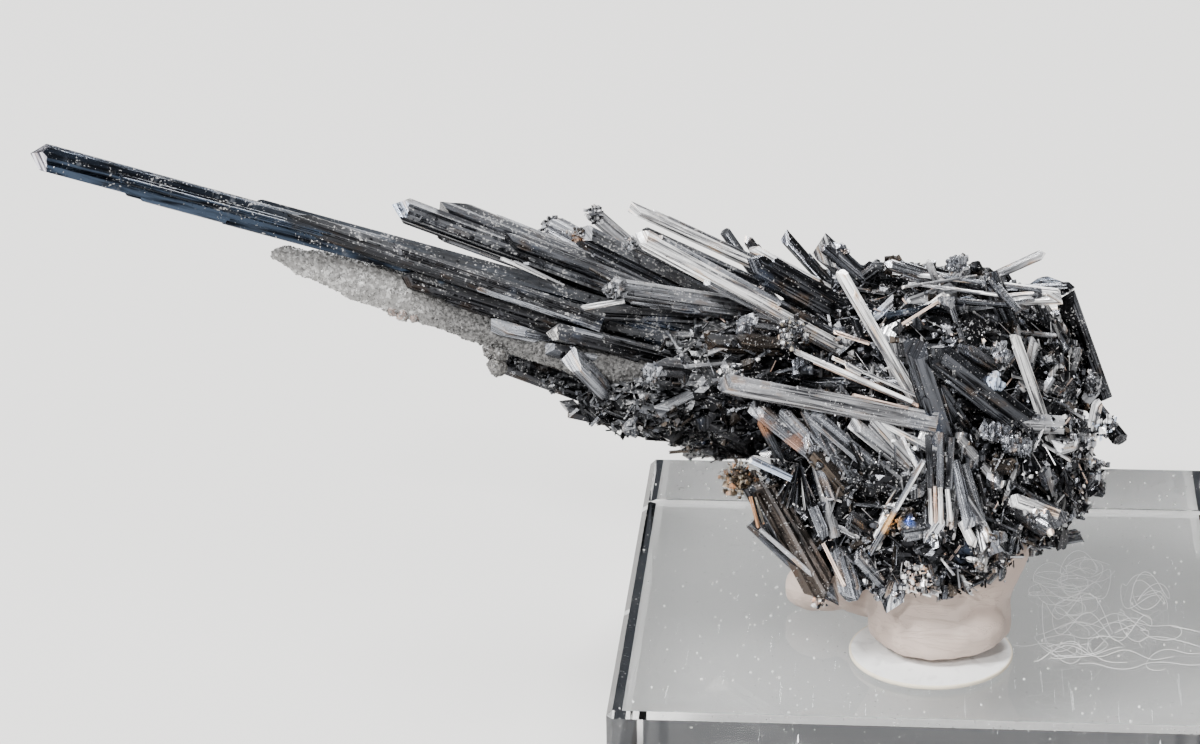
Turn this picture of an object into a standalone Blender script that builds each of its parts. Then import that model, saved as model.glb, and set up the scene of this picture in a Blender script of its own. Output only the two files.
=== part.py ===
# Stibnite crystal spray on a clear block.
# Metres, +Z up. The origin is the centre of the block's underside, +X runs along
# the spray towards its matted end, and the long prisms reach out over -X.

import math
import random

import bmesh
import bpy
from mathutils import Matrix, Vector

MM = 0.001

# Driving dimensions, in millimetres
BLOCK_SIDE = 50.8
BLOCK_HEIGHT = 12.7
BLOCK_EDGE = 0.5
GAP = 0.3
DOT_RADIUS = 6.7
DOT_THICKNESS = 0.4
DOT_CENTRE = (0.4, -13.9)

# The side of the spray that its broad crystal faces look towards
FRONT = Vector((0.1, -0.92, 0.38)).normalized()

# The matted heart of the spray: (centre, radii) of the lumps that it grew from
HEART = [
    ((-1.0, -3.0, 33.0), (13.2, 9.0, 9.0)),
    ((-3.2, -10.8, 26.2), (10.4, 6.2, 7.0)),
    ((-15.8, -7.0, 33.8), (9.2, 5.6, 6.2)),
    ((7.6, -8.0, 27.5), (5.2, 6.0, 7.2)),
    ((-1.0, -14.2, 23.4), (8.2, 4.2, 4.4)),
    ((-22.6, -9.6, 33.2), (5.6, 4.0, 2.6)),
]

# Main crystals: (tip, root, width, thickness), points as (x, y, z)
LEFT_SHEAF = [
    ((-71.2, -15.5, 55.8), (-19.0, -7.0, 38.0), 2.6, 2.3),
    ((-51.5, -12.5, 49.5), (-26.5, -11.5, 40.5), 2.0, 1.2),
    ((-42.5, -12.0, 44.5), (-23.5, -10.0, 37.5), 1.8, 1.4),
    ((-43.5, -9.0, 49.5), (-23.5, -7.0, 41.0), 2.4, 2.0),
    ((-40.0, -7.5, 49.0), (-19.0, -5.5, 39.5), 2.4, 1.8),
    ((-34.5, -9.0, 47.0), (-23.0, -7.0, 41.5), 1.6, 1.2),
    ((-32.5, 4.5, 43.0), (-16.0, -2.0, 36.5), 2.6, 2.2),
    ((-29.0, -7.5, 47.0), (-17.5, -5.0, 40.0), 2.4, 2.0),
    ((-28.0, -4.0, 47.5), (-19.0, -2.4, 38.6), 1.4, 1.0),
    ((-24.6, -6.5, 48.8), (-10.0, -3.0, 40.5), 1.2, 1.0),
    ((-24.0, -8.0, 47.0), (-2.0, -9.0, 35.0), 1.9, 1.4),
    ((-23.5, -7.0, 47.0), (-14.0, -5.5, 42.0), 0.9, 0.8),
    ((-26.0, -11.0, 43.5), (-12.5, -5.5, 39.5), 2.0, 1.6),
    ((-29.5, -11.0, 41.5), (-11.5, -4.0, 38.0), 1.3, 1.0),
    ((-35.5, -12.0, 40.5), (-21.5, -8.5, 36.5), 1.7, 1.0),
    ((-30.5, -13.0, 40.5), (-20.0, -8.5, 36.0), 1.6, 1.4),
    ((-31.0, -12.0, 38.5), (-19.0, -8.0, 34.0), 1.3, 1.0),
    ((-29.3, -12.4, 38.4), (-26.2, -11.4, 34.4), 1.9, 1.6),
    ((-35.1, -9.1, 36.6), (-21.3, -9.9, 31.6), 2.6, 1.6),
    ((-22.5, -14.0, 38.0), (-17.5, -8.0, 35.0), 1.9, 1.6),
]
FRONT_LATHS = [
    ((-22.0, -14.0, 34.0), (-15.0, -9.5, 36.0), 1.0, 0.9),
    ((-17.0, -13.5, 36.5), (0.5, -14.0, 33.5), 1.7, 0.8),
    ((-1.5, -11.8, 36.0), (-11.5, -10.0, 35.0), 1.0, 0.8),
    ((-7.5, -9.0, 44.5), (0.5, -13.5, 32.0), 1.1, 0.8),
    ((-1.5, -14.0, 40.5), (1.5, -12.5, 30.5), 2.2, 1.5),
    ((-0.5, -14.0, 40.0), (10.5, -11.0, 30.0), 2.8, 1.2),
    ((6.5, -9.5, 39.5), (10.0, -12.0, 30.5), 0.9, 0.8),
    ((1.0, -12.0, 39.5), (5.5, -9.0, 35.5), 2.6, 2.0),
    ((-1.0, -13.5, 30.5), (-6.5, -10.5, 33.0), 1.8, 1.0),
    ((-15.5, -11.5, 39.5), (-9.0, -7.0, 36.5), 1.6, 0.9),
    ((-15.0, -10.0, 40.5), (-8.0, -6.0, 37.5), 1.5, 0.9),
    ((-14.5, -15.0, 30.5), (-8.0, -12.0, 28.0), 0.9, 0.8),
]
TOP_RIDGE = [
    ((9.0, -3.0, 44.0), (2.5, -2.5, 40.5), 0.9, 0.8),
    ((11.5, -4.0, 41.5), (1.5, -2.0, 40.0), 1.1, 0.9),
    ((10.5, -5.0, 41.0), (1.5, -3.5, 39.5), 1.2, 1.0),
    ((-4.0, -4.5, 43.5), (6.5, -4.0, 40.0), 1.1, 0.9),
    ((1.0, -7.5, 42.0), (-3.5, -8.0, 38.5), 0.7, 0.6),
    ((2.5, -4.0, 43.5), (1.0, -4.0, 40.0), 1.9, 0.9),
    ((-9.5, -3.5, 44.8), (-6.0, -3.0, 41.5), 2.2, 1.8),
    ((-17.5, 3.0, 43.5), (-10.5, -2.5, 35.5), 1.0, 0.8),
    ((-15.5, 0.0, 44.0), (-9.5, -3.0, 36.5), 1.0, 0.8),
    ((-15.0, -3.0, 44.0), (-8.5, -3.0, 40.5), 1.2, 0.9),
    ((-12.5, 2.0, 43.5), (-8.0, -1.0, 39.5), 1.1, 0.9),
    ((-15.0, -8.0, 45.0), (-5.0, -5.5, 38.0), 2.2, 1.2),
    ((-4.0, -3.5, 43.2), (-7.0, -3.0, 40.5), 1.4, 1.2),
    ((-0.5, -5.0, 44.0), (1.5, -5.0, 39.5), 0.7, 0.6),
    ((4.5, -6.0, 43.5), (7.0, -6.5, 37.5), 1.8, 1.2),
]
RIGHT_EDGE = [
    ((10.8, 0.0, 39.4), (14.2, -2.5, 31.0), 1.9, 1.2),
    ((16.0, -3.5, 27.5), (9.5, -1.5, 35.0), 1.5, 1.2),
    ((13.6, -7.0, 33.0), (12.4, -7.5, 26.5), 1.1, 0.9),
    ((10.5, -16.0, 25.5), (4.5, -11.5, 27.0), 2.9, 2.2),
    ((14.5, -6.0, 24.0), (9.0, -7.0, 30.0), 1.6, 1.2),
    ((11.0, -11.5, 21.5), (8.5, -8.5, 28.5), 1.8, 1.3),
]
FOOT = [
    ((-8.0, -17.0, 19.2), (-13.5, -14.5, 28.5), 3.4, 2.6),
    ((-7.0, -17.3, 19.0), (-14.2, -15.8, 25.4), 1.7, 1.5),
    ((-10.5, -12.0, 35.0), (-6.0, -15.5, 28.0), 1.7, 0.9),
    ((-9.0, -15.0, 30.5), (-7.5, -16.6, 24.5), 1.2, 0.9),
    ((-6.0, -18.0, 19.5), (-8.5, -14.5, 28.0), 2.0, 0.9),
    ((-2.5, -17.6, 18.6), (-5.0, -14.5, 27.0), 2.8, 1.2),
    ((-4.5, -18.0, 24.0), (0.0, -13.0, 33.0), 1.1, 0.9),
    ((0.5, -18.5, 25.0), (0.5, -12.5, 33.0), 1.9, 1.4),
    ((1.5, -18.0, 25.0), (2.5, -12.5, 32.0), 1.2, 1.0),
    ((4.5, -17.5, 23.5), (2.5, -12.0, 31.5), 1.7, 1.3),
    ((4.5, -17.5, 22.5), (1.0, -12.0, 25.5), 2.0, 1.6),
]
BACK = [
    ((-41.4, 1.6, 44.0), (-12.0, 0.0, 33.5), 2.4, 2.0),
    ((-37.0, -1.5, 45.4), (-14.0, -2.0, 36.5), 2.2, 1.8),
    ((-34.0, -8.0, 41.4), (-16.0, -5.0, 36.6), 2.4, 1.4),
    ((-36.0, -3.5, 36.0), (-13.0, -3.5, 32.5), 2.0, 1.4),
    ((-29.0, 5.5, 36.5), (-8.0, 2.0, 32.0), 1.9, 1.5),
    ((-19.0, 8.5, 27.0), (-4.0, 0.0, 32.5), 2.3, 1.7),
    ((-8.0, 10.5, 38.6), (-3.0, 0.0, 33.0), 2.1, 1.6),
    ((4.5, 10.0, 24.5), (0.0, -1.0, 33.0), 2.3, 1.8),
    ((10.5, 8.5, 37.5), (1.0, 0.0, 33.5), 2.0, 1.5),
    ((13.8, 5.5, 31.0), (3.0, 1.0, 33.5), 1.9, 1.4),
    ((-15.5, 5.5, 31.5), (11.0, 4.5, 35.5), 1.8, 1.1),
    ((12.5, 2.5, 23.5), (4.0, -1.5, 31.5), 1.8, 1.3),
    ((-21.0, -4.0, 27.0), (-8.0, -5.0, 32.5), 1.9, 1.3),
]

# Small crystals round the heart: (heart lump, how many, shortest, longest)
SMALL = [
    (0, 54, 5.0, 9.5),
    (1, 26, 4.0, 7.0),
    (2, 22, 4.5, 8.0),
    (3, 20, 4.0, 6.5),
    (4, 12, 3.0, 4.5),
    (5, 6, 3.0, 5.0),
]
# The way that most of the small crystals lie
GRAIN = Vector((-0.86, -0.1, 0.5)).normalized()
SEED = 31
# Small crystals keep above this height, clear of the putty
UNDERSIDE = 19.4
# They also keep below a roof that slopes down towards the back: height at y = 0, and slope
ROOF = 41.6
ROOF_SLOPE = 0.41

# The druse-coated blade: (distance along it, half width, half thickness)
BLADE_TIP = Vector((-53.0, -11.5, 46.3))
BLADE_ROOT = Vector((-21.5, -9.8, 35.0))
BLADE_STATIONS = [
    (0.00, 0.25, 0.25),
    (0.03, 0.75, 0.50),
    (0.10, 1.20, 0.80),
    (0.20, 1.55, 1.00),
    (0.32, 1.80, 1.10),
    (0.45, 1.85, 1.15),
    (0.58, 1.85, 1.15),
    (0.72, 1.90, 1.15),
    (0.86, 1.75, 1.10),
    (1.00, 1.30, 0.90),
]
BLADE_SIDES = 8
BLADE_ROUGHNESS = 0.12

# The putty that the spray is pressed into: (z, centre x, centre y, radius x, radius y)
PUTTY_RINGS = [
    (13.8, 0.9, -12.3, 5.4, 4.9),
    (14.4, 0.9, -12.3, 5.9, 5.2),
    (15.6, 0.9, -12.1, 5.9, 5.0),
    (17.4, 0.9, -11.4, 5.7, 4.7),
    (19.4, 0.9, -10.8, 6.7, 5.3),
    (21.2, 0.9, -10.6, 7.4, 5.9),
    (22.4, 0.8, -10.4, 6.9, 5.4),
]
PUTTY_SIDES = 18
# Its side lobe, the neck that joins it on and a bulge in front: (centre, radii, lowest height)
PUTTY_LOBES = [
    ((-8.9, -5.5, 14.7), (3.1, 2.7, 2.6), 13.0),
    ((-4.4, -7.6, 14.9), (3.4, 2.6, 2.0), 13.7),
    ((3.2, -14.2, 15.9), (3.4, 3.5, 2.2), 13.7),
]

# Cross-section of a crystal, as shares of its width and thickness
SECTION = [(-0.5, 0.0), (-0.3, -0.5), (0.32, -0.5), (0.5, -0.05), (0.28, 0.5), (-0.33, 0.5)]
SMALL_SECTION = [(-0.5, 0.0), (0.0, -0.5), (0.5, 0.0), (0.0, 0.5)]


def clear_scene():
    for item in list(bpy.data.objects):
        bpy.data.objects.remove(item, do_unlink=True)


def make_material(name, color, roughness, metallic=0.0, transmission=0.0):
    material = bpy.data.materials.new(name)
    material.use_nodes = True
    shader = material.node_tree.nodes["Principled BSDF"]
    shader.inputs["Base Color"].default_value = (*color, 1.0)
    shader.inputs["Roughness"].default_value = roughness
    shader.inputs["Metallic"].default_value = metallic
    shader.inputs["Transmission Weight"].default_value = transmission
    shader.inputs["IOR"].default_value = 1.49
    return material


def add_object(name, mesh_builder, material=None):
    mesh = bpy.data.meshes.new(name)
    bmesh.ops.recalc_face_normals(mesh_builder, faces=mesh_builder.faces)
    mesh_builder.to_mesh(mesh)
    mesh_builder.free()
    item = bpy.data.objects.new(name, mesh)
    bpy.context.scene.collection.objects.link(item)
    if material:
        mesh.materials.append(material)
    return item


def loft(rings):
    """A closed body through rings of equal point count, in metres."""
    builder = bmesh.new()
    loops = [[builder.verts.new(point) for point in ring] for ring in rings]
    for near, far in zip(loops, loops[1:]):
        for i in range(len(near)):
            j = (i + 1) % len(near)
            builder.faces.new((near[i], near[j], far[j], far[i]))
    builder.faces.new(loops[0])
    builder.faces.new(list(reversed(loops[-1])))
    return builder


def crystal_frame(tip, root, turn):
    """Unit vectors along, across and through a crystal, its broad face to the front."""
    along = (tip - root).normalized()
    through = (FRONT - along * FRONT.dot(along)).normalized()
    across = along.cross(through)
    spin = Matrix.Rotation(turn, 3, along)
    return along, spin @ across, spin @ through


def crystal(tip, root, width, thickness, section, dice, pointed=True):
    """A striated prism with a slanting end, as a closed body."""
    tip, root = Vector(tip), Vector(root)
    along, across, through = crystal_frame(tip, root, math.radians(dice.uniform(-28, 28)))
    slant = dice.uniform(-0.7, 0.7)
    lean = dice.uniform(-0.4, 0.4)
    end_size = dice.uniform(0.35, 0.6)
    rings = []
    ends = ((root, 0.85, 0.0), (tip, 1.0, 0.6), (tip, end_size, 0.0))
    for base, size, tilt in ends if pointed else ends[:2]:
        setback = along * (-width * tilt)
        ring = []
        for u, v in section:
            slide = along * (width * (slant * u + lean * v)) if base is tip else Vector()
            offset = across * (u * width * size) + through * (v * thickness * size)
            ring.append((base + offset + setback + slide * size) * MM)
        rings.append(ring)
    return loft(rings)


def lump(centre, radii, detail, dice, roughness=0.05):
    """An ellipsoid with a slightly uneven surface."""
    builder = bmesh.new()
    bmesh.ops.create_icosphere(builder, subdivisions=detail, radius=1.0)
    for vert in builder.verts:
        swell = 1.0 + dice.uniform(-roughness, roughness)
        vert.co = Vector(c + r * p * swell for c, r, p in zip(centre, radii, vert.co)) * MM
    return builder


def small_crystal_places(dice):
    """Tip, root and width of the small crystals, spread evenly over each lump."""
    golden = math.pi * (3.0 - math.sqrt(5.0))
    places = []
    for index, count, shortest, longest in SMALL:
        centre, radii = HEART[index]
        for i in range(count):
            z = 1.0 - (2.0 * i + 1.0) / count
            ring = math.sqrt(1.0 - z * z)
            out = Vector((ring * math.cos(golden * i), ring * math.sin(golden * i), z))
            spot = Vector(c + 0.98 * r * o for c, r, o in zip(centre, radii, out))
            normal = Vector(o / r for r, o in zip(radii, out)).normalized()
            stray = Vector(dice.gauss(0.0, 0.7) for _ in range(3))
            lie = GRAIN + stray
            lie = (lie - normal * lie.dot(normal)).normalized()
            way = (lie + normal * dice.uniform(-0.1, 0.5)).normalized()
            length = dice.uniform(shortest, longest)
            width = dice.uniform(0.9, 2.1)
            tip, root = spot + way * length * 0.5, spot - way * length * 0.5
            below_roof = max(end.z + ROOF_SLOPE * end.y for end in (tip, root)) < ROOF
            if min(tip.z, root.z) > UNDERSIDE and below_roof:
                places.append((tip, root, width))
    return places


def blade(dice):
    """The lens-section blade that a crust of tiny crystals has thickened."""
    along = (BLADE_ROOT - BLADE_TIP).normalized()
    through = (FRONT - along * FRONT.dot(along)).normalized()
    across = along.cross(through)
    rings = []
    for share, half_width, half_thickness in BLADE_STATIONS:
        middle = BLADE_TIP.lerp(BLADE_ROOT, share)
        ring = []
        for i in range(BLADE_SIDES):
            angle = math.tau * i / BLADE_SIDES
            rough = 1.0 + dice.uniform(-BLADE_ROUGHNESS, BLADE_ROUGHNESS)
            offset = across * math.cos(angle) * half_width * rough
            offset += through * math.sin(angle) * half_thickness * rough
            ring.append((middle + offset) * MM)
        rings.append(ring)
    return loft(rings)


def putty_body(grow):
    """The putty's main column, swollen by grow."""
    rings = []
    last = len(PUTTY_RINGS) - 1
    for k, (z, x, y, radius_x, radius_y) in enumerate(PUTTY_RINGS):
        lift = -grow if k == 0 else grow if k == last else 0.0
        ring = []
        for i in range(PUTTY_SIDES):
            angle = math.tau * i / PUTTY_SIDES
            pinch = 1.0 + 0.04 * math.sin(3.0 * angle + 0.5 * k)
            ring.append(Vector((
                x + (radius_x * pinch + grow) * math.cos(angle),
                y + (radius_y * pinch + grow) * math.sin(angle),
                z + lift,
            )) * MM)
        rings.append(ring)
    return loft(rings)


def putty_lobe(index, grow, dice):
    centre, radii, lowest = PUTTY_LOBES[index]
    builder = lump(centre, [radius + grow for radius in radii], 2, dice, 0.0)
    for vert in builder.verts:
        vert.co.z = max(vert.co.z, (lowest - grow) * MM)
    return builder


def hide_as_helper(item, group):
    """Keep a shape that only shapes another one out of the model."""
    item.hide_render = True
    item.display_type = "WIRE"
    bpy.context.scene.collection.objects.unlink(item)
    group.objects.link(item)


def helper_group(name):
    group = bpy.data.collections.new(name)
    bpy.context.scene.collection.children.link(group)
    return group


def add_boolean(item, operation, group):
    modifier = item.modifiers.new(operation.title(), "BOOLEAN")
    modifier.operation = operation
    modifier.operand_type = "COLLECTION"
    modifier.collection = group
    modifier.solver = "EXACT"


def build_spray(material):
    grown = helper_group("grown_crystals")
    dice = random.Random(SEED)
    spray = add_object("stibnite_spray", lump(*HEART[0], 3, dice, 0.06), material)
    for number, (centre, radii) in enumerate(HEART[1:]):
        hide_as_helper(add_object(f"heart_{number}", lump(centre, radii, 2, dice, 0.06)), grown)
    hide_as_helper(add_object("coated_blade", blade(dice)), grown)
    dice = random.Random(SEED)
    mains = LEFT_SHEAF + FRONT_LATHS + TOP_RIDGE + RIGHT_EDGE + FOOT + BACK
    for number, (tip, root, width, thickness) in enumerate(mains):
        shape = crystal(tip, root, width, thickness, SECTION, dice)
        hide_as_helper(add_object(f"main_{number}", shape), grown)
    dice = random.Random(SEED)
    for number, (tip, root, width) in enumerate(small_crystal_places(dice)):
        shape = crystal(tip, root, width, width * 0.8, SMALL_SECTION, dice, pointed=False)
        hide_as_helper(add_object(f"small_{number}", shape), grown)
    seat = helper_group("putty_seat")
    hide_as_helper(add_object("seat_body", putty_body(GAP)), seat)
    for number in range(len(PUTTY_LOBES)):
        hide_as_helper(add_object(f"seat_lobe_{number}", putty_lobe(number, GAP, dice)), seat)
    add_boolean(spray, "UNION", grown)
    add_boolean(spray, "DIFFERENCE", seat)


def build_putty(material):
    dice = random.Random(SEED)
    lobes = helper_group("putty_lobes")
    putty = add_object("mounting_putty", putty_body(0.0), material)
    for number in range(len(PUTTY_LOBES)):
        hide_as_helper(add_object(f"lobe_{number}", putty_lobe(number, 0.0, dice)), lobes)
    add_boolean(putty, "UNION", lobes)


def build_dot(material):
    builder = bmesh.new()
    bmesh.ops.create_cone(
        builder, cap_ends=True, segments=40,
        radius1=DOT_RADIUS * MM, radius2=DOT_RADIUS * MM, depth=DOT_THICKNESS * MM,
    )
    dot = add_object("adhesive_disc", builder, material)
    height = BLOCK_HEIGHT + GAP + DOT_THICKNESS / 2
    dot.location = (DOT_CENTRE[0] * MM, DOT_CENTRE[1] * MM, height * MM)


def build_block(material):
    builder = bmesh.new()
    bmesh.ops.create_cube(builder, size=1.0)
    size = Vector((BLOCK_SIDE, BLOCK_SIDE, BLOCK_HEIGHT)) * MM
    for vert in builder.verts:
        vert.co = Vector(a * b for a, b in zip(vert.co, size))
    block = add_object("acrylic_base", builder, material)
    block.location = (0.0, 0.0, BLOCK_HEIGHT * MM / 2)
    bevel = block.modifiers.new("Edge", "BEVEL")
    bevel.width = BLOCK_EDGE * MM
    bevel.segments = 1


def main():
    clear_scene()
    build_spray(make_material("stibnite", (0.16, 0.17, 0.19), 0.32, metallic=0.9))
    build_putty(make_material("putty", (0.62, 0.56, 0.51), 0.6))
    build_dot(make_material("dot", (0.85, 0.85, 0.84), 0.7))
    build_block(make_material("clear_acrylic", (0.93, 0.95, 0.96), 0.03, transmission=1.0))


main()
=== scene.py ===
# Looks of a stibnite crystal spray on a clear block. Lengths in the dictionaries are millimetres.
import math
import random

import bmesh
import bpy
import numpy as np
from mathutils import Matrix, Vector


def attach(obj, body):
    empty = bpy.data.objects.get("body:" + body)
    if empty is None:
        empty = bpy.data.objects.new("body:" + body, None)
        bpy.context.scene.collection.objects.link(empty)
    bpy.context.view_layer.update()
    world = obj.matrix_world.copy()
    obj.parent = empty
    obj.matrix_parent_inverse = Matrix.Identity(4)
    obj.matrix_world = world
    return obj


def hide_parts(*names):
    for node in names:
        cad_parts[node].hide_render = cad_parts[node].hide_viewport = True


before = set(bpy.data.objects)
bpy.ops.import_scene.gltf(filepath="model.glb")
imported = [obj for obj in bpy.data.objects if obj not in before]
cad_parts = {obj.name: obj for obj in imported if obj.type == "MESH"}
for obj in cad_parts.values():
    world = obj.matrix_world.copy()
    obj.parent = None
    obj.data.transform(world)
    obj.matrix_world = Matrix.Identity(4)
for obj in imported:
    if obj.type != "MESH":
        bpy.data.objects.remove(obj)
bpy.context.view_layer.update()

mm = 0.001
front = Vector((0.1, -0.92, 0.38)).normalized()  # the way the broad faces look
goldenTurn = math.pi * (3.0 - math.sqrt(5.0))


# ---- small tools ----

def deselectAll():
    bpy.ops.object.select_all(action="DESELECT")


def pickOnly(*items):
    deselectAll()
    for item in items:
        item.select_set(True)
    bpy.context.view_layer.objects.active = items[0]


def startEdit(item, kind="VERT"):
    pickOnly(item)
    bpy.ops.object.mode_set(mode="EDIT")
    bpy.ops.mesh.select_mode(type=kind)


def endEdit():
    bpy.ops.object.mode_set(mode="OBJECT")


def selectVerts(test):
    shape = bmesh.from_edit_mesh(bpy.context.object.data)
    for vert in shape.verts:
        vert.select_set(test(vert.co))
    shape.select_flush_mode()
    bmesh.update_edit_mesh(bpy.context.object.data)


def selectEdges(test):
    shape = bmesh.from_edit_mesh(bpy.context.object.data)
    for edge in shape.edges:
        edge.select_set(test(edge.verts[0].co, edge.verts[1].co))
    shape.select_flush_mode()
    bmesh.update_edit_mesh(bpy.context.object.data)


def applyModifiers(item):
    pickOnly(item)
    for modifier in list(item.modifiers):
        bpy.ops.object.modifier_apply(modifier=modifier.name)


def applyPlace(item):
    pickOnly(item)
    bpy.ops.object.transform_apply(location=True, rotation=True, scale=True)


def turnOutwards(item):
    # crystalFrame is left-handed, so what it places is inside out until now
    startEdit(item)
    bpy.ops.mesh.select_all(action="SELECT")
    bpy.ops.mesh.normals_make_consistent(inside=False)
    endEdit()


def joinAll(items, name):
    joined = []
    for start in range(0, len(items), 400):
        batch = items[start:start + 400]
        pickOnly(*batch)
        if len(batch) > 1:
            bpy.ops.object.join()
        joined.append(bpy.context.object)
    pickOnly(*joined)
    if len(joined) > 1:
        bpy.ops.object.join()
    whole = bpy.context.object
    whole.name = name
    whole.data.name = name
    return whole


def hand(item, material, slot, *nodes):
    item.data.materials.clear()
    item.data.materials.append(material)
    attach(item, "root")
    if nodes:
        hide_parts(*nodes)


# ---- camera, floor and lights ----

camera = {
    "azimuth": 5.145,
    "elevation": 22.35,
    "roll": -0.88,
    "distance": 309.3,
    "aim": (-27.7, 0.0, 31.6),
    "lens": 110.3,
}


def addCamera():
    azimuth = math.radians(camera["azimuth"])
    elevation = math.radians(camera["elevation"])
    roll = math.radians(camera["roll"])
    back = Vector((
        math.sin(azimuth) * math.cos(elevation),
        -math.cos(azimuth) * math.cos(elevation),
        math.sin(elevation),
    ))
    level = Vector((math.cos(azimuth), math.sin(azimuth), 0.0))
    upright = back.cross(level)
    right = math.cos(roll) * level + math.sin(roll) * upright
    up = back.cross(right)
    deselectAll()
    bpy.ops.object.camera_add()
    item = bpy.context.object
    item.name = "photo_camera"
    place = Matrix((right, up, back)).transposed().to_4x4()
    place.translation = (Vector(camera["aim"]) + back * camera["distance"]) * mm
    item.matrix_world = place
    item.data.lens = camera["lens"]
    item.data.sensor_width = 36.0
    item.data.clip_start = 0.01
    bpy.context.scene.camera = item


lights = [  # name, place in mm, width and height in mm, watts
    ("key", (-900, -700, 1700), (600, 600), 88),
    ("back", (300, 1600, 1200), (900, 500), 42),
    ("strip", (-1500, 300, 800), (200, 1300), 22),
    ("fill", (1400, -1300, 1000), (900, 900), 14),
    ("glint", (-350, -1100, 900), (130, 130), 14),
]
skyStrength = 0.07


def addLights():
    target = Vector((-14, -6, 32))
    for name, place, size, watts in lights:
        deselectAll()
        bpy.ops.object.light_add(type="AREA", location=Vector(place) * mm)
        lamp = bpy.context.object
        lamp.name = name + "_light"
        lamp.data.shape = "RECTANGLE"
        lamp.data.size = size[0] * mm
        lamp.data.size_y = size[1] * mm
        lamp.data.energy = watts
        lamp.rotation_mode = "QUATERNION"
        lamp.rotation_quaternion = (target - Vector(place)).to_track_quat("-Z", "Y")
    world = bpy.data.worlds.new("studio")
    world.use_nodes = True
    sky = world.node_tree.nodes["Background"]
    sky.inputs["Color"].default_value = (0.82, 0.88, 1.0, 1.0)
    sky.inputs["Strength"].default_value = skyStrength
    bpy.context.scene.world = world


# ---- shader building ----

class Wire:
    # a shader socket that Python's operators work on
    def __init__(self, board, socket):
        self.board = board
        self.socket = socket

    def work(self, operation, first, second):
        return self.board.add("ShaderNodeMath", {"operation": operation}, {0: first, 1: second})

    def __add__(self, other):
        return self.work("ADD", self, other)

    def __radd__(self, other):
        return self.work("ADD", other, self)

    def __sub__(self, other):
        return self.work("SUBTRACT", self, other)

    def __rsub__(self, other):
        return self.work("SUBTRACT", other, self)

    def __mul__(self, other):
        return self.work("MULTIPLY", self, other)

    def __rmul__(self, other):
        return self.work("MULTIPLY", other, self)

    def __gt__(self, other):
        return self.work("GREATER_THAN", self, other)

    def __pow__(self, other):
        return self.work("POWER", self, other)


class Board:
    # the node tree of one material
    def __init__(self, name):
        self.material = bpy.data.materials.new(name)
        self.material.use_nodes = True
        self.tree = self.material.node_tree
        self.shader = self.tree.nodes["Principled BSDF"]
        self.end = self.tree.nodes["Material Output"]

    def plug(self, socket, value):
        if isinstance(value, Wire):
            self.tree.links.new(value.socket, socket)
        elif isinstance(value, tuple) and len(value) == 3 and socket.type == "RGBA":
            socket.default_value = (*value, 1.0)
        else:
            socket.default_value = value

    def add(self, kind, settings=None, sockets=None, output=0):
        node = self.tree.nodes.new(kind)
        for key, value in (settings or {}).items():
            setattr(node, key, value)
        for key, value in (sockets or {}).items():
            self.plug(node.inputs[key], value)
        return Wire(self, node.outputs[output])

    def set(self, **values):
        for key, value in values.items():
            self.plug(self.shader.inputs[key.replace("_", " ")], value)

    def objectPlace(self):
        return self.add("ShaderNodeTexCoord", output="Object")

    def noise(self, place, scale, detail=3.0, distortion=0.0, output=0):
        sockets = {"Vector": place, "Scale": scale, "Detail": detail, "Distortion": distortion}
        return self.add("ShaderNodeTexNoise", {}, sockets, output)

    def ramp(self, value, low, high):
        # 0 below low, 1 above high, soft between
        settings = {"interpolation_type": "SMOOTHSTEP"}
        sockets = {"Value": value, "From Min": low, "From Max": high}
        return self.add("ShaderNodeMapRange", settings, sockets)

    def mixColour(self, share, first, second, blend="MIX"):
        settings = {"data_type": "RGBA", "blend_type": blend}
        return self.add("ShaderNodeMix", settings, {0: share, 6: first, 7: second}, 2)

    def join(self, x, y, z=0.0):
        return self.add("ShaderNodeCombineXYZ", {}, {0: x, 1: y, 2: z})

    def split(self, vector):
        node = self.tree.nodes.new("ShaderNodeSeparateXYZ")
        self.plug(node.inputs[0], vector)
        return [Wire(self, output) for output in node.outputs]

    def bump(self, height, distance, strength=1.0, normal=None):
        sockets = {"Height": height, "Distance": distance * mm, "Strength": strength}
        if normal:
            sockets["Normal"] = normal
        return self.add("ShaderNodeBump", {}, sockets)


# ---- materials ----

# Tarnish stains, and one painted highlight.
stainsAndHighlights = [  # centre, radius, colour, strength
    ((-28.7, -8.6, 46.5), 0.8, (0.28, 0.13, 0.05), 0.7),
    ((-13.4, -14.0, 32.9), 1.0, (0.26, 0.12, 0.06), 0.75),
    ((-10.9, -14.4, 31.7), 1.0, (0.5, 0.28, 0.2), 0.8),
    ((-15.6, -14.0, 27.6), 1.7, (0.2, 0.14, 0.08), 0.6),
    ((-9.6, -10.6, 39.4), 1.5, (0.34, 0.22, 0.1), 0.5),
    ((-39.3, -11.4, 44.4), 0.8, (0.08, 0.2, 0.36), 0.4),
    ((-38.2, -11.4, 44.0), 0.7, (0.1, 0.2, 0.3), 0.35),
    # Painted highlight, not a stain: a bluish sheen on a small nodule at the foot.
    ((-1.5, -18.0, 26.6), 0.6, (0.2, 0.3, 0.7), 0.8),
    ((-3.2, -18.2, 26.5), 1.1, (0.85, 0.5, 0.22), 0.95),
    ((-10.5, -8.2, 41.0), 1.3, (0.1, 0.07, 0.05), 0.6),
]


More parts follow.
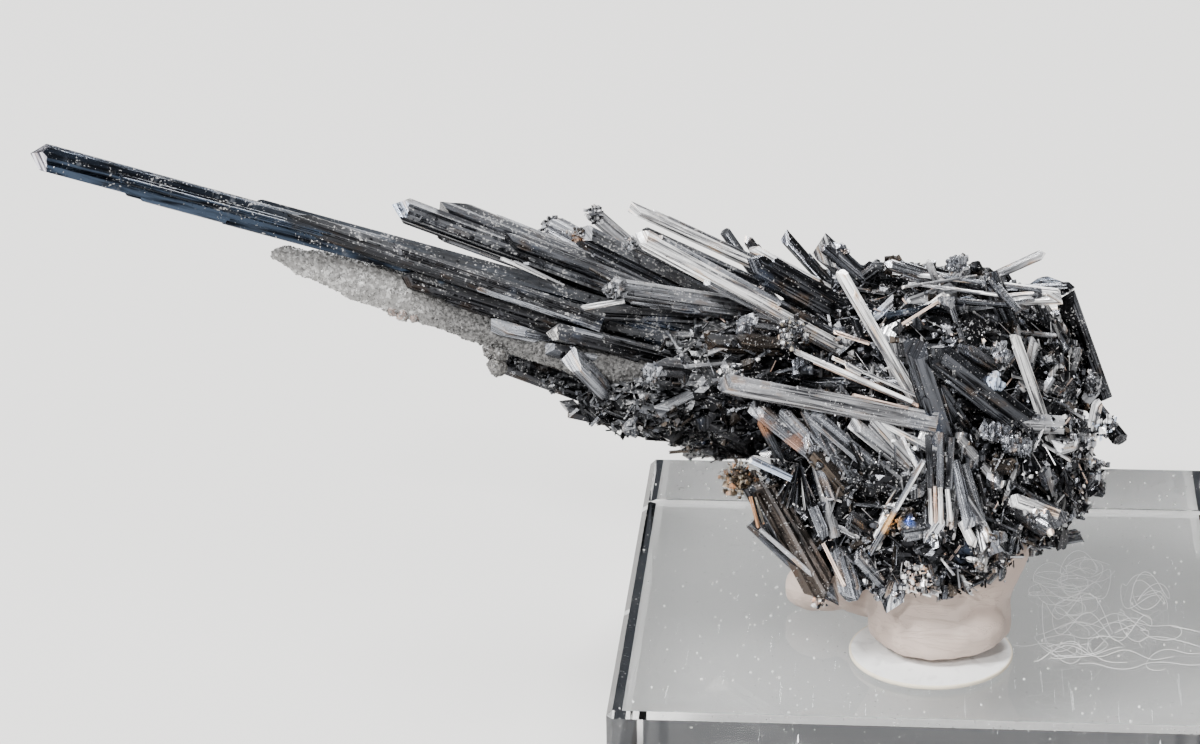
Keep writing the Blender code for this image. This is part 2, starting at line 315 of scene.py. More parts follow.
def makeStibnite():
    board = Board("stibnite_metal")
    # The vertex colour holds each crystal's tone together with painted shade deep in the mat and painted highlights on
    # end faces.
    vertexTint = board.add("ShaderNodeAttribute", {"attribute_name": "ownColour"}, output="Color")
    metal = board.add("ShaderNodeAttribute", {"attribute_name": "ownColour"}, output="Alpha")
    grain = board.add("ShaderNodeUVMap", {"uv_map": "grain"})
    across, along, _ = board.split(grain)
    place = board.objectPlace()
    fine = board.noise(board.join(across * 11.0, along * 0.3), 1.0, 5.0)
    broad = board.noise(board.join(across * 2.6, along * 0.1), 1.0, 3.0)
    flecks = board.noise(board.join(across * 2.2, along * 1.6), 1.0, 6.0)
    # Stripes along the striations, from near-black to half again as light: partly the fluted faces' own tone, partly
    # painted reflection.
    streak = board.ramp(fine * 0.5 + broad * 0.6, 0.45, 0.62)
    stripedSheen = board.mixColour(streak, (0.09, 0.09, 0.1), (1.5, 1.5, 1.5))
    colour = board.mixColour(1.0, vertexTint, stripedSheen, "MULTIPLY")
    warmth = board.noise(board.join(across * 1.3, along * 0.35), 1.0, 4.0)
    colour = board.mixColour(board.ramp(warmth, 0.55, 0.68) * 0.8, colour, (1.0, 0.7, 0.48), "MULTIPLY")
    blotches = board.noise(place, 260.0, 4.0)
    colour = board.mixColour(board.ramp(blotches, 0.6, 0.74) * 0.25, colour, (0.09, 0.12, 0.19))
    facing = board.add("ShaderNodeNewGeometry", output="Normal")
    _, _, upward = board.split(facing)
    crumbs = board.noise(place, 5200.0, 2.0)
    patches = board.noise(place, 520.0, 5.0)
    x, _, z = board.split(place)
    # Up-facing faces of the sheaf turn greyer, less metallic and rougher: partly dust, partly painted light from above.
    sheaf = board.ramp(x * -1.0, 0.012, 0.02) * board.ramp(x, -0.058, -0.044) * 0.8 + 0.2
    powder = board.noise(place, 2300.0, 4.0)
    film = board.ramp(upward + powder * 1.2 + patches * 0.9, 1.25, 1.6) * sheaf
    crumbShare = board.ramp(crumbs + patches * 0.4 + upward * 0.03 + film * 0.05, 0.88, 0.93)
    frost = board.ramp(flecks * 0.6 + patches * 0.6 + upward * 0.1, 0.7, 0.9)
    colour = board.mixColour(frost * 0.4, colour, (0.2, 0.205, 0.22))
    colour = board.mixColour(film * 0.45, colour, (0.15, 0.153, 0.162))
    colour = board.mixColour(crumbShare * 0.6, colour, (0.55, 0.54, 0.53))
    veil = board.noise(place, 1500.0, 4.0)
    for centre, radius, spotColour, strength in stainsAndHighlights:
        reach = board.add(
            "ShaderNodeVectorMath",
            {"operation": "DISTANCE"},
            {0: place, 1: tuple(c * mm for c in centre)},
            "Value",
        )
        share = 1.0 - board.ramp(reach * (1.0 / (radius * mm)) + veil * 1.6, 1.2, 1.9)
        colour = board.mixColour(share * strength, colour, spotColour)
    board.set(Base_Color=colour)
    board.set(Metallic=metal * (1.0 - frost * 0.35) * (1.0 - film * 0.35) * (1.0 - crumbShare * 0.6))
    board.set(Roughness=0.12 + broad * 0.12 + frost * 0.2 + film * 0.22 + crumbShare * 0.25)
    first = board.bump(fine, 0.03, 0.8)
    second = board.bump(broad, 0.09, 0.7, first)
    board.set(Normal=board.bump(crumbs + flecks, 0.03, 0.5, second))
    return board.material


def makeDruse():
    board = Board("druse_crust")
    place = board.objectPlace()
    x, _, _ = board.split(place)
    vertexTint = board.add("ShaderNodeAttribute", {"attribute_name": "ownColour"}, output="Color")
    patches = board.noise(place, 380.0, 4.0)
    specks = board.noise(place, 4200.0, 3.0)
    # Painted shadow: the crust turns dark towards its root, where the crystals above shade it; random grains are lifted
    # towards white as painted glints.
    shade = board.ramp(x + patches * 0.008, -0.0395, -0.034)
    glints = board.ramp(board.noise(place, 2600.0, 2.0), 0.5, 0.62)
    pale = board.mixColour(patches, (0.15, 0.147, 0.143), (0.3, 0.293, 0.283))
    pale = board.mixColour(glints * 0.45, pale, (0.75, 0.74, 0.72))
    dark = board.mixColour(board.ramp(specks, 0.35, 0.7), (0.035, 0.034, 0.033), (0.2, 0.195, 0.19))
    colour = board.mixColour(shade, pale, dark)
    colour = board.mixColour(1.0, colour, vertexTint, "MULTIPLY")
    board.set(Base_Color=colour)
    board.set(Roughness=0.12 + specks * 0.5)
    board.set(Normal=board.bump(specks, 0.05, 0.8))
    board.shader.inputs["Specular IOR Level"].default_value = 0.7
    return board.material


def makePutty():
    board = Board("beige_putty")
    place = board.objectPlace()
    clouds = board.noise(place, 160.0, 3.0)
    specks = board.noise(place, 2600.0, 2.0)
    stretch = board.add("ShaderNodeMapping", {}, {"Vector": place, "Scale": (0.5, 0.9, 2.6)})
    folds = board.noise(stretch, 320.0, 4.0, 1.6)
    creases = board.ramp(folds, 0.47, 0.5) * (1.0 - board.ramp(folds, 0.5, 0.53))
    # The beige is kept dark, partly as painted shadow of the spray above; the creases are darker still as painted
    # shade.
    colour = board.mixColour(clouds, (0.44, 0.335, 0.28), (0.56, 0.46, 0.4))
    colour = board.mixColour(creases * 0.2, colour, (0.36, 0.28, 0.24))
    colour = board.mixColour(board.ramp(specks, 0.7, 0.76) * 0.5, colour, (0.3, 0.27, 0.25))
    board.set(Base_Color=colour)
    board.set(Roughness=0.42 + clouds * 0.2)
    first = board.bump(folds, 0.25, 0.35)
    board.set(Normal=board.bump(creases * -1.0, 0.05, 0.6, first))
    return board.material


def makeDisc():
    board = Board("white_disc")
    place = board.objectPlace()
    fibres = board.noise(place, 2400.0, 5.0)
    smears = board.noise(place, 420.0, 4.0, 1.2)
    colour = board.mixColour(board.ramp(smears, 0.48, 0.66) * 0.75, (0.88, 0.88, 0.87), (0.66, 0.655, 0.65))
    x, y, _ = board.split(place)
    centre = (disc["centre"][0] * mm, disc["centre"][1] * mm)
    reach = ((x - centre[0]) ** 2.0 + (y - centre[1]) ** 2.0) ** 0.5
    rim = board.ramp(reach * (1.0 / (disc["radius"] * mm)), 0.965, 0.99)
    colour = board.mixColour(rim * 0.6, colour, (0.74, 0.6, 0.36))
    board.set(Base_Color=colour)
    board.set(Roughness=0.55 + fibres * 0.25)
    board.set(Normal=board.bump(fibres, 0.012, 0.4))
    return board.material


def makeAcrylic():
    board = Board("clear_acrylic")
    place = board.objectPlace()
    smears = board.noise(place, 85.0, 5.0, 0.8)
    stretch = board.add("ShaderNodeMapping", {}, {"Vector": place, "Rotation": (0.0, 0.0, 0.5), "Scale": (30.0, 1.0, 1.0)})
    scratches = board.ramp(board.noise(stretch, 90.0, 2.0), 0.7, 0.73)
    dust = board.ramp(board.noise(place, 3400.0, 2.0), 0.7, 0.75)
    board.set(Roughness=board.ramp(smears, 0.45, 0.8) * 0.04 + scratches * 0.1 + 0.01)
    board.set(Normal=board.bump(scratches, -0.01, 0.4))
    board.shader.inputs["Base Color"].default_value = (0.965, 0.975, 0.98, 1.0)
    board.shader.inputs["Transmission Weight"].default_value = 1.0
    board.shader.inputs["IOR"].default_value = 1.49
    film = board.add("ShaderNodeBsdfDiffuse", {}, {"Color": (0.75, 0.74, 0.72)})
    mix = board.add("ShaderNodeMixShader", {}, {
        0: dust * 0.35 + board.ramp(smears, 0.5, 0.85) * 0.02,
        1: Wire(board, board.shader.outputs[0]),
        2: film,
    })
    board.tree.links.new(mix.socket, board.end.inputs["Surface"])
    return board.material


def makeLint():
    board = Board("lint_fibre")
    tint = board.noise(board.objectPlace(), 300.0, 2.0)
    board.set(Base_Color=board.mixColour(tint, (0.7, 0.68, 0.66), (0.9, 0.9, 0.9)))
    board.set(Roughness=0.4 + tint * 0.3)
    return board.material


def makeFloor():
    board = Board("pale_floor")
    board.set(Base_Color=(0.72, 0.71, 0.69), Roughness=0.75)
    return board.material


# ---- crystals ----

prismLooks = [  # strips on each side, flute depth, end cuts as (height, tilt, heading)
    {"strips": 4, "flute": 0.06, "cuts": [(-0.35, 48, 20), (-0.3, 35, 200)]},
    {"strips": 4, "flute": 0.05, "cuts": [(-0.3, 32, 75)]},
    {"strips": 3, "flute": 0.07, "cuts": [(-0.3, 50, 0), (-0.3, 50, 95), (-0.32, 52, 185), (-0.3, 48, 280)]},
    {"strips": 5, "flute": 0.05, "cuts": [(-0.25, 22, 250), (-0.4, 58, 110)]},
    {"strips": 3, "flute": 0.08, "cuts": [(-0.2, 12, 30), (-0.45, 62, 150), (-0.5, 66, 320)]},
    {"strips": 4, "flute": 0.05, "cuts": [(-0.3, 42, 140), (-0.35, 40, 330), (-0.25, 25, 60)]},
]
sliverLooks = [
    {"strips": 1, "flute": 0.06, "cuts": [(-0.3, 40, 30)]},
    {"strips": 1, "flute": 0.05, "cuts": [(-0.3, 50, 100), (-0.3, 45, 260)]},
    {"strips": 1, "flute": 0.08, "cuts": [(-0.15, 20, 200)]},
]
shardCuts = 7  # slices that make a shard out of a cube
crumbCuts = 2  # and the same for a crumb
# Painted highlight: end faces are mostly drawn lighter than the sides, by one of these factors.
paintedEndHighlight = (0.8, 1.0, 1.5, 2.5, 4.0)  # how much brighter end faces may be
# Black is partly painted shade, and the white, bluish-white, pinkish-white and lilac tones are painted highlights;
# brown, umber, rust and sand are tarnish and dirt.
palette = {  # red, green, blue, how metallic, how fine the streaks
    "gunmetal": (0.024, 0.034, 0.052, 0.95, 0.3),
    "steel": (0.085, 0.105, 0.14, 0.95, 0.3),
    "lead": (0.055, 0.058, 0.066, 0.95, 0.7),
    "black": (0.02, 0.0205, 0.023, 0.95, 0.4),
    "grey": (0.15, 0.154, 0.166, 0.9, 1.0),
    "slate": (0.23, 0.24, 0.265, 0.8, 1.0),
    "pale": (0.4, 0.402, 0.415, 0.65, 1.0),
    "ice": (0.5, 0.58, 0.72, 0.3, 1.0),
    "bright": (0.95, 0.94, 0.93, 0.45, 1.0),
    "brown": (0.062, 0.05, 0.041, 0.85, 0.6),
    "umber": (0.04, 0.033, 0.029, 0.9, 0.35),
    "rust": (0.3, 0.15, 0.07, 0.2, 1.0),
    "sand": (0.27, 0.24, 0.19, 0.2, 1.0),
    "flesh": (0.8, 0.6, 0.5, 0.4, 1.0),
    "lilac": (0.62, 0.6, 0.66, 0.0, 1.0),
}


def modelPrism(name, sides, look, dice):
    # one striated prism, 1 wide and 1 thick, its end at z = 0 and its root ring at z = -2
    deselectAll()
    bpy.ops.mesh.primitive_cylinder_add(
        vertices=sides, radius=0.5, depth=2.0, location=(0, 0, -1), rotation=(0, 0, math.pi / 2)
    )
    unit = bpy.context.object
    unit.name = name
    applyPlace(unit)
    startEdit(unit, "EDGE")
    fullness = 0.5 / max(v.co.y for v in unit.data.vertices)
    bpy.ops.transform.resize(value=(1.0, fullness, 1.0), center_override=(0.0, 0.0, -1.0))
    selectEdges(lambda a, b: abs(a.z - b.z) < 0.01)
    bpy.ops.mesh.subdivide(number_cuts=look["strips"])
    bpy.ops.mesh.select_mode(type="VERT")
    shape = bmesh.from_edit_mesh(unit.data)
    corners = {(round(v.co.x, 4), round(v.co.y, 4)) for v in shape.verts}
    for x, y in sorted(corners):
        shrink = 1.0 - look["flute"] * dice.random() * 2.0
        selectVerts(lambda co: abs(co.x - x) < 0.001 and abs(co.y - y) < 0.001)
        bpy.ops.transform.resize(value=(shrink, shrink, 1.0), center_override=(0.0, 0.0, -1.0))
    for height, tilt, heading in look["cuts"]:
        slice_(height, tilt, heading)
    endEdit()
    top = max(v.co.z for v in unit.data.vertices)
    for vert in unit.data.vertices:
        if vert.co.z > -1.5:
            vert.co.z -= top
    return unit


def slice_(height, tilt, heading):
    # cut the open mesh with a plane and close it again
    tilt, heading = math.radians(tilt), math.radians(heading)
    facing = (math.sin(tilt) * math.cos(heading), math.sin(tilt) * math.sin(heading), math.cos(tilt))
    place = (0.0, 0.0, height) if tilt < 1.2 else tuple(height * part for part in facing)
    bpy.ops.mesh.select_all(action="SELECT")
    bpy.ops.mesh.bisect(plane_co=place, plane_no=facing, clear_outer=True, use_fill=True)


def modelShard(name, cuts, dice):
    # an angular splinter about 1 across
    deselectAll()
    bpy.ops.mesh.primitive_cube_add(size=1.0)
    unit = bpy.context.object
    unit.name = name
    startEdit(unit, "VERT")
    for _ in range(cuts):
        facing = Vector(dice.gauss(0, 1) for _ in range(3)).normalized()
        bpy.ops.mesh.select_all(action="SELECT")
        reach = dice.uniform(0.28, 0.42)
        bpy.ops.mesh.bisect(plane_co=facing * reach, plane_no=facing, clear_outer=True, use_fill=True)
    endEdit()
    return unit


hearts = [  # the lumps that the mat grew on: centre, radii
    ((-1.0, -3.0, 33.0), (13.2, 9.0, 9.0)),
    ((-3.2, -10.8, 26.2), (10.4, 6.2, 7.0)),
    ((-15.8, -7.0, 33.8), (9.2, 5.6, 6.2)),
    ((7.6, -8.0, 27.5), (5.2, 6.0, 7.2)),
    ((-1.0, -14.2, 23.4), (8.2, 4.2, 4.4)),
    ((-22.6, -9.6, 33.2), (5.6, 4.0, 2.6)),
]


def openness(spots):
    # 0 deep in the mat, 1 well clear of it
    field = np.full(len(spots), 9.0)
    for centre, radii in hearts:
        field = np.minimum(field, np.linalg.norm((spots - np.array(centre)) / np.array(radii), axis=1))
    return np.clip((field - 0.94) / 0.22, 0.0, 1.0)


def crystalFrame(tip, root, turn):
    along = (tip - root).normalized()
    through = (front - along * front.dot(along)).normalized()
    across = along.cross(through)
    spin = Matrix.Rotation(turn, 3, along)
    return along, spin @ across, spin @ through


def tintOf(name, dice):
    *colour, metal, fineness = palette[name]
    glow = dice.uniform(0.8, 1.2)
    return [min(channel * glow, 1.0) for channel in colour] + [metal, fineness]


class Crop:
    # many copies of a few unit shapes, gathered into one mesh
    def __init__(self, units):
        self.units = []
        for unit in units:
            spots = np.empty(len(unit.data.vertices) * 3)
            unit.data.vertices.foreach_get("co", spots)
            spots = spots.reshape(-1, 3)
            faces = [tuple(face.vertices) for face in unit.data.polygons]
            isEnd = np.array([spots[list(face), 2].min() > -1.5 for face in faces])
            self.units.append((spots, faces, isEnd))
        self.spots, self.faces, self.grain, self.tint, self.glow = [], [], [], [], []
        self.count = 0

    def put(self, placed, faces, grain, colour, glow, rootShade=1.0):
        start = self.count
        self.faces.extend(tuple(start + corner for corner in face) for face in faces)
        self.spots.append(placed)
        self.grain.append(grain)
        self.glow.append(glow)
        # Painted shade: each corner is darkened by how deep in the mat it lies, down to rootShade times its colour.
        shade = rootShade + (1.0 - rootShade) * openness(placed)
        metal = np.full(len(placed), colour[3])
        self.tint.append(np.column_stack((np.outer(shade, colour[:3]), metal)))
        self.count += len(placed)

    def lath(self, tip, root, width, thickness, turn, colour, dice, endColour=None, look=None):
        picked = dice.randrange(len(self.units))
        unit, faces, isEnd = self.units[picked if look is None else look]
        along, across, through = crystalFrame(tip, root, turn)
        atRoot = unit[:, 2] < -1.5
        spread = np.where(atRoot, 0.88, 1.0)
        x = unit[:, 0] * width * spread
        y = unit[:, 1] * thickness * spread
        z = np.where(atRoot, -(tip - root).length, unit[:, 2] * width)
        placed = np.outer(x, across) + np.outer(y, through) + np.outer(z, along) + np.array(tip)
        grain = np.column_stack(((x + 1.7 * y) * colour[4] + dice.uniform(0, 90), z + dice.uniform(0, 90)))
        # End faces take the end colour or a lighter copy of the side colour: a painted highlight.
        endTint = palette[endColour][:3] if endColour else np.array(colour[:3]) * dice.choice(paintedEndHighlight)
        glow = np.where(isEnd[:, None], np.array(endTint) / np.array(colour[:3]), 1.0)
        self.put(placed, faces, grain, colour, glow, 0.35)

    def shard(self, centre, size, colour, dice):
        unit, faces, isEnd = self.units[dice.randrange(len(self.units))]
        turn = Matrix.Rotation(dice.uniform(0, math.tau), 3, "Z") @ Matrix.Rotation(dice.uniform(0, 3), 3, "X")
        shape = unit * np.array([size * dice.uniform(0.5, 1.3) for _ in range(3)])
        placed = shape @ np.array(turn) + np.array(centre)
        grain = placed[:, :2] + dice.uniform(0, 90)
        self.put(placed, faces, grain, colour, np.ones((len(faces), 3)))

    def harvest(self, name):
        spots = np.concatenate(self.spots) * mm
        mesh = bpy.data.meshes.new(name)
        mesh.from_pydata(spots.tolist(), [], self.faces)
        corners = np.empty(len(mesh.loops), dtype=np.int32)
        mesh.loops.foreach_get("vertex_index", corners)
        layer = mesh.uv_layers.new(name="grain")
        layer.data.foreach_set("uv", np.concatenate(self.grain)[corners].ravel())
        tint = np.concatenate(self.tint)[corners]
        glow = np.repeat(np.concatenate(self.glow), [len(face) for face in self.faces], axis=0)
        tint[:, :3] = np.minimum(tint[:, :3] * glow, 0.95)
        mesh.attributes.new("ownColour", "FLOAT_COLOR", "CORNER").data.foreach_set("color", tint.ravel())
        item = bpy.data.objects.new(name, mesh)
        bpy.context.scene.collection.objects.link(item)
        return item


# Main crystals: tip, root, width, thickness, colour and, where it differs, the colour of the end; a lighter end is a
# painted highlight on the end face
mainCrystals = [
    # the sheaf that reaches out to the left
    ((-71.1, -15.4, 55.65), (-19.0, -7.0, 38.0), 2.6, 2.3, "gunmetal", "lilac", 2),
    ((-51.5, -12.5, 49.5), (-26.5, -11.5, 40.5), 2.0, 1.2, "black"),
    ((-42.5, -12.0, 44.5), (-23.5, -10.0, 37.5), 1.8, 1.4, "black"),
    ((-43.5, -9.0, 49.5), (-23.5, -7.0, 41.0), 2.4, 2.0, "lead", "ice", 2),
    ((-40.0, -7.5, 49.0), (-19.0, -5.5, 39.5), 2.4, 1.8, "lead"),
    ((-34.5, -9.0, 47.0), (-23.0, -7.0, 41.5), 1.6, 1.2, "lead"),
    ((-32.5, 4.5, 43.0), (-16.0, -2.0, 36.5), 2.6, 2.2, "slate"),
    ((-29.0, -7.5, 47.0), (-17.5, -5.0, 40.0), 2.4, 2.0, "lead"),
    ((-28.0, -4.0, 47.5), (-19.0, -2.4, 38.6), 1.4, 1.0, "pale"),
    ((-24.6, -6.5, 48.8), (-10.0, -3.0, 40.5), 1.2, 1.0, "bright"),
    ((-24.0, -8.0, 47.0), (-2.0, -9.0, 35.0), 1.9, 1.4, "bright"),
    ((-23.5, -7.0, 47.0), (-14.0, -5.5, 42.0), 0.9, 0.8, "lead"),
    ((-26.0, -11.0, 43.5), (-12.5, -5.5, 39.5), 2.0, 1.6, "grey"),
    ((-29.5, -11.0, 41.5), (-11.5, -4.0, 38.0), 1.3, 1.0, "black"),
    ((-35.5, -12.0, 40.5), (-21.5, -8.5, 36.5), 1.7, 1.0, "slate", "slate"),
    ((-30.5, -13.0, 40.5), (-20.0, -8.5, 36.0), 1.6, 1.4, "black", "bright"),
    ((-31.0, -12.0, 38.5), (-19.0, -8.0, 34.0), 1.3, 1.0, "lead"),
    ((-29.3, -12.4, 38.4), (-26.2, -11.4, 34.4), 1.9, 1.6, "slate"),
    ((-35.1, -9.1, 36.6), (-21.3, -9.9, 31.6), 2.6, 1.6, "black"),
    ((-22.5, -14.0, 38.0), (-17.5, -8.0, 35.0), 1.9, 1.6, "grey", "slate"),
    # laths across the front
    ((-22.0, -14.0, 34.0), (-15.0, -9.5, 36.0), 1.0, 0.9, "grey", "slate"),
    ((-17.0, -13.5, 36.5), (0.5, -14.0, 33.5), 1.7, 0.8, "pale", "grey"),
    ((-1.5, -11.8, 36.0), (-11.5, -10.0, 35.0), 1.0, 0.8, "grey"),
    ((-7.5, -9.0, 44.5), (0.5, -13.5, 32.0), 1.1, 0.8, "bright"),
    ((-1.5, -14.0, 40.5), (1.5, -12.5, 30.5), 2.2, 1.5, "lead"),
    ((-0.5, -14.0, 40.0), (10.5, -11.0, 30.0), 2.8, 1.2, "lead"),
    ((6.5, -9.5, 39.5), (10.0, -12.0, 30.5), 0.9, 0.8, "bright"),
    ((1.0, -12.0, 39.5), (5.5, -9.0, 35.5), 2.6, 2.0, "grey"),
    ((-1.0, -13.5, 30.5), (-6.5, -10.5, 33.0), 1.8, 1.0, "grey"),
    ((-15.5, -11.5, 39.5), (-9.0, -7.0, 36.5), 1.6, 0.9, "brown"),
    ((-15.0, -10.0, 40.5), (-8.0, -6.0, 37.5), 1.5, 0.9, "grey"),
    ((-14.5, -15.0, 30.5), (-8.0, -12.0, 28.0), 0.9, 0.8, "bright"),
    # the top ridge
    ((9.0, -3.0, 44.0), (2.5, -2.5, 40.5), 0.9, 0.8, "pale"),
    ((11.5, -4.0, 41.5), (1.5, -2.0, 40.0), 1.1, 0.9, "lead"),
    ((10.5, -5.0, 41.0), (1.5, -3.5, 39.5), 1.2, 1.0, "bright"),
    ((-4.0, -4.5, 43.5), (6.5, -4.0, 40.0), 1.1, 0.9, "grey"),
    ((1.0, -7.5, 42.0), (-3.5, -8.0, 38.5), 0.7, 0.6, "bright"),
    ((2.5, -4.0, 43.5), (1.0, -4.0, 40.0), 1.9, 0.9, "pale"),
    ((-9.5, -3.5, 44.8), (-6.0, -3.0, 41.5), 2.2, 1.8, "slate"),
    ((-17.5, 3.0, 43.5), (-10.5, -2.5, 35.5), 1.0, 0.8, "lead"),
    ((-15.5, 0.0, 44.0), (-9.5, -3.0, 36.5), 1.0, 0.8, "grey"),
    ((-15.0, -3.0, 44.0), (-8.5, -3.0, 40.5), 1.2, 0.9, "bright"),
    ((-12.5, 2.0, 43.5), (-8.0, -1.0, 39.5), 1.1, 0.9, "lead"),
    ((-15.0, -8.0, 45.0), (-5.0, -5.5, 38.0), 2.2, 1.2, "lead"),
    ((-4.0, -3.5, 43.2), (-7.0, -3.0, 40.5), 1.4, 1.2, "grey"),
    ((-0.5, -5.0, 44.0), (1.5, -5.0, 39.5), 0.7, 0.6, "pale"),
    ((4.5, -6.0, 43.5), (7.0, -6.5, 37.5), 1.8, 1.2, "lead"),
    # the right edge
    ((10.8, 0.0, 39.4), (14.2, -2.5, 31.0), 1.9, 1.2, "black"),
    ((16.0, -3.5, 27.5), (9.5, -1.5, 35.0), 1.5, 1.2, "black"),
    ((13.6, -7.0, 33.0), (12.4, -7.5, 26.5), 1.1, 0.9, "bright"),
    ((10.5, -16.0, 25.5), (4.5, -11.5, 27.0), 2.9, 2.2, "grey"),
    ((14.5, -6.0, 24.0), (9.0, -7.0, 30.0), 1.6, 1.2, "lead"),
    ((11.0, -11.5, 21.5), (8.5, -8.5, 28.5), 1.8, 1.3, "black"),
    # the foot
    ((-8.0, -17.0, 19.2), (-13.5, -14.5, 28.5), 3.4, 2.6, "umber", "umber"),
    ((-7.0, -17.3, 19.0), (-14.2, -15.8, 25.4), 1.7, 1.5, "lead", "lead"),
    ((-10.5, -12.0, 35.0), (-6.0, -15.5, 28.0), 1.7, 0.9, "slate", "grey"),
    ((-9.0, -15.0, 30.5), (-7.5, -16.6, 24.5), 1.2, 0.9, "pale"),
    ((-6.0, -18.0, 19.5), (-8.5, -14.5, 28.0), 2.0, 0.9, "slate"),
    ((-2.5, -17.6, 18.6), (-5.0, -14.5, 27.0), 2.8, 1.2, "slate"),
    ((-4.5, -18.0, 24.0), (0.0, -13.0, 33.0), 1.1, 0.9, "bright"),
    ((0.5, -18.5, 25.0), (0.5, -12.5, 33.0), 1.9, 1.4, "grey"),
    ((1.5, -18.0, 25.0), (2.5, -12.5, 32.0), 1.2, 1.0, "pale"),
    ((4.5, -17.5, 23.5), (2.5, -12.0, 31.5), 1.7, 1.3, "pale"),
    ((4.5, -17.5, 22.5), (1.0, -12.0, 25.5), 2.0, 1.6, "bright"),
    # the back
    ((-41.4, 1.6, 44.0), (-12.0, 0.0, 33.5), 2.4, 2.0, "lead"),
    ((-37.0, -1.5, 45.4), (-14.0, -2.0, 36.5), 2.2, 1.8, "lead"),
    ((-34.0, -8.0, 41.4), (-16.0, -5.0, 36.6), 2.4, 1.4, "black"),
    ((-36.0, -3.5, 36.0), (-13.0, -3.5, 32.5), 2.0, 1.4, "lead"),
    ((-29.0, 5.5, 36.5), (-8.0, 2.0, 32.0), 1.9, 1.5, "grey"),
    ((-19.0, 8.5, 27.0), (-4.0, 0.0, 32.5), 2.3, 1.7, "pale"),
    ((-8.0, 10.5, 38.6), (-3.0, 0.0, 33.0), 2.1, 1.6, "lead"),
    ((4.5, 10.0, 24.5), (0.0, -1.0, 33.0), 2.3, 1.8, "grey"),
    ((10.5, 8.5, 37.5), (1.0, 0.0, 33.5), 2.0, 1.5, "steel"),
    ((13.8, 5.5, 31.0), (3.0, 1.0, 33.5), 1.9, 1.4, "lead"),
    ((-15.5, 5.5, 31.5), (11.0, 4.5, 35.5), 1.8, 1.1, "bright"),
    ((12.5, 2.5, 23.5), (4.0, -1.5, 31.5), 1.8, 1.3, "lead"),
    ((-21.0, -4.0, 27.0), (-8.0, -5.0, 32.5), 1.9, 1.3, "grey"),
]
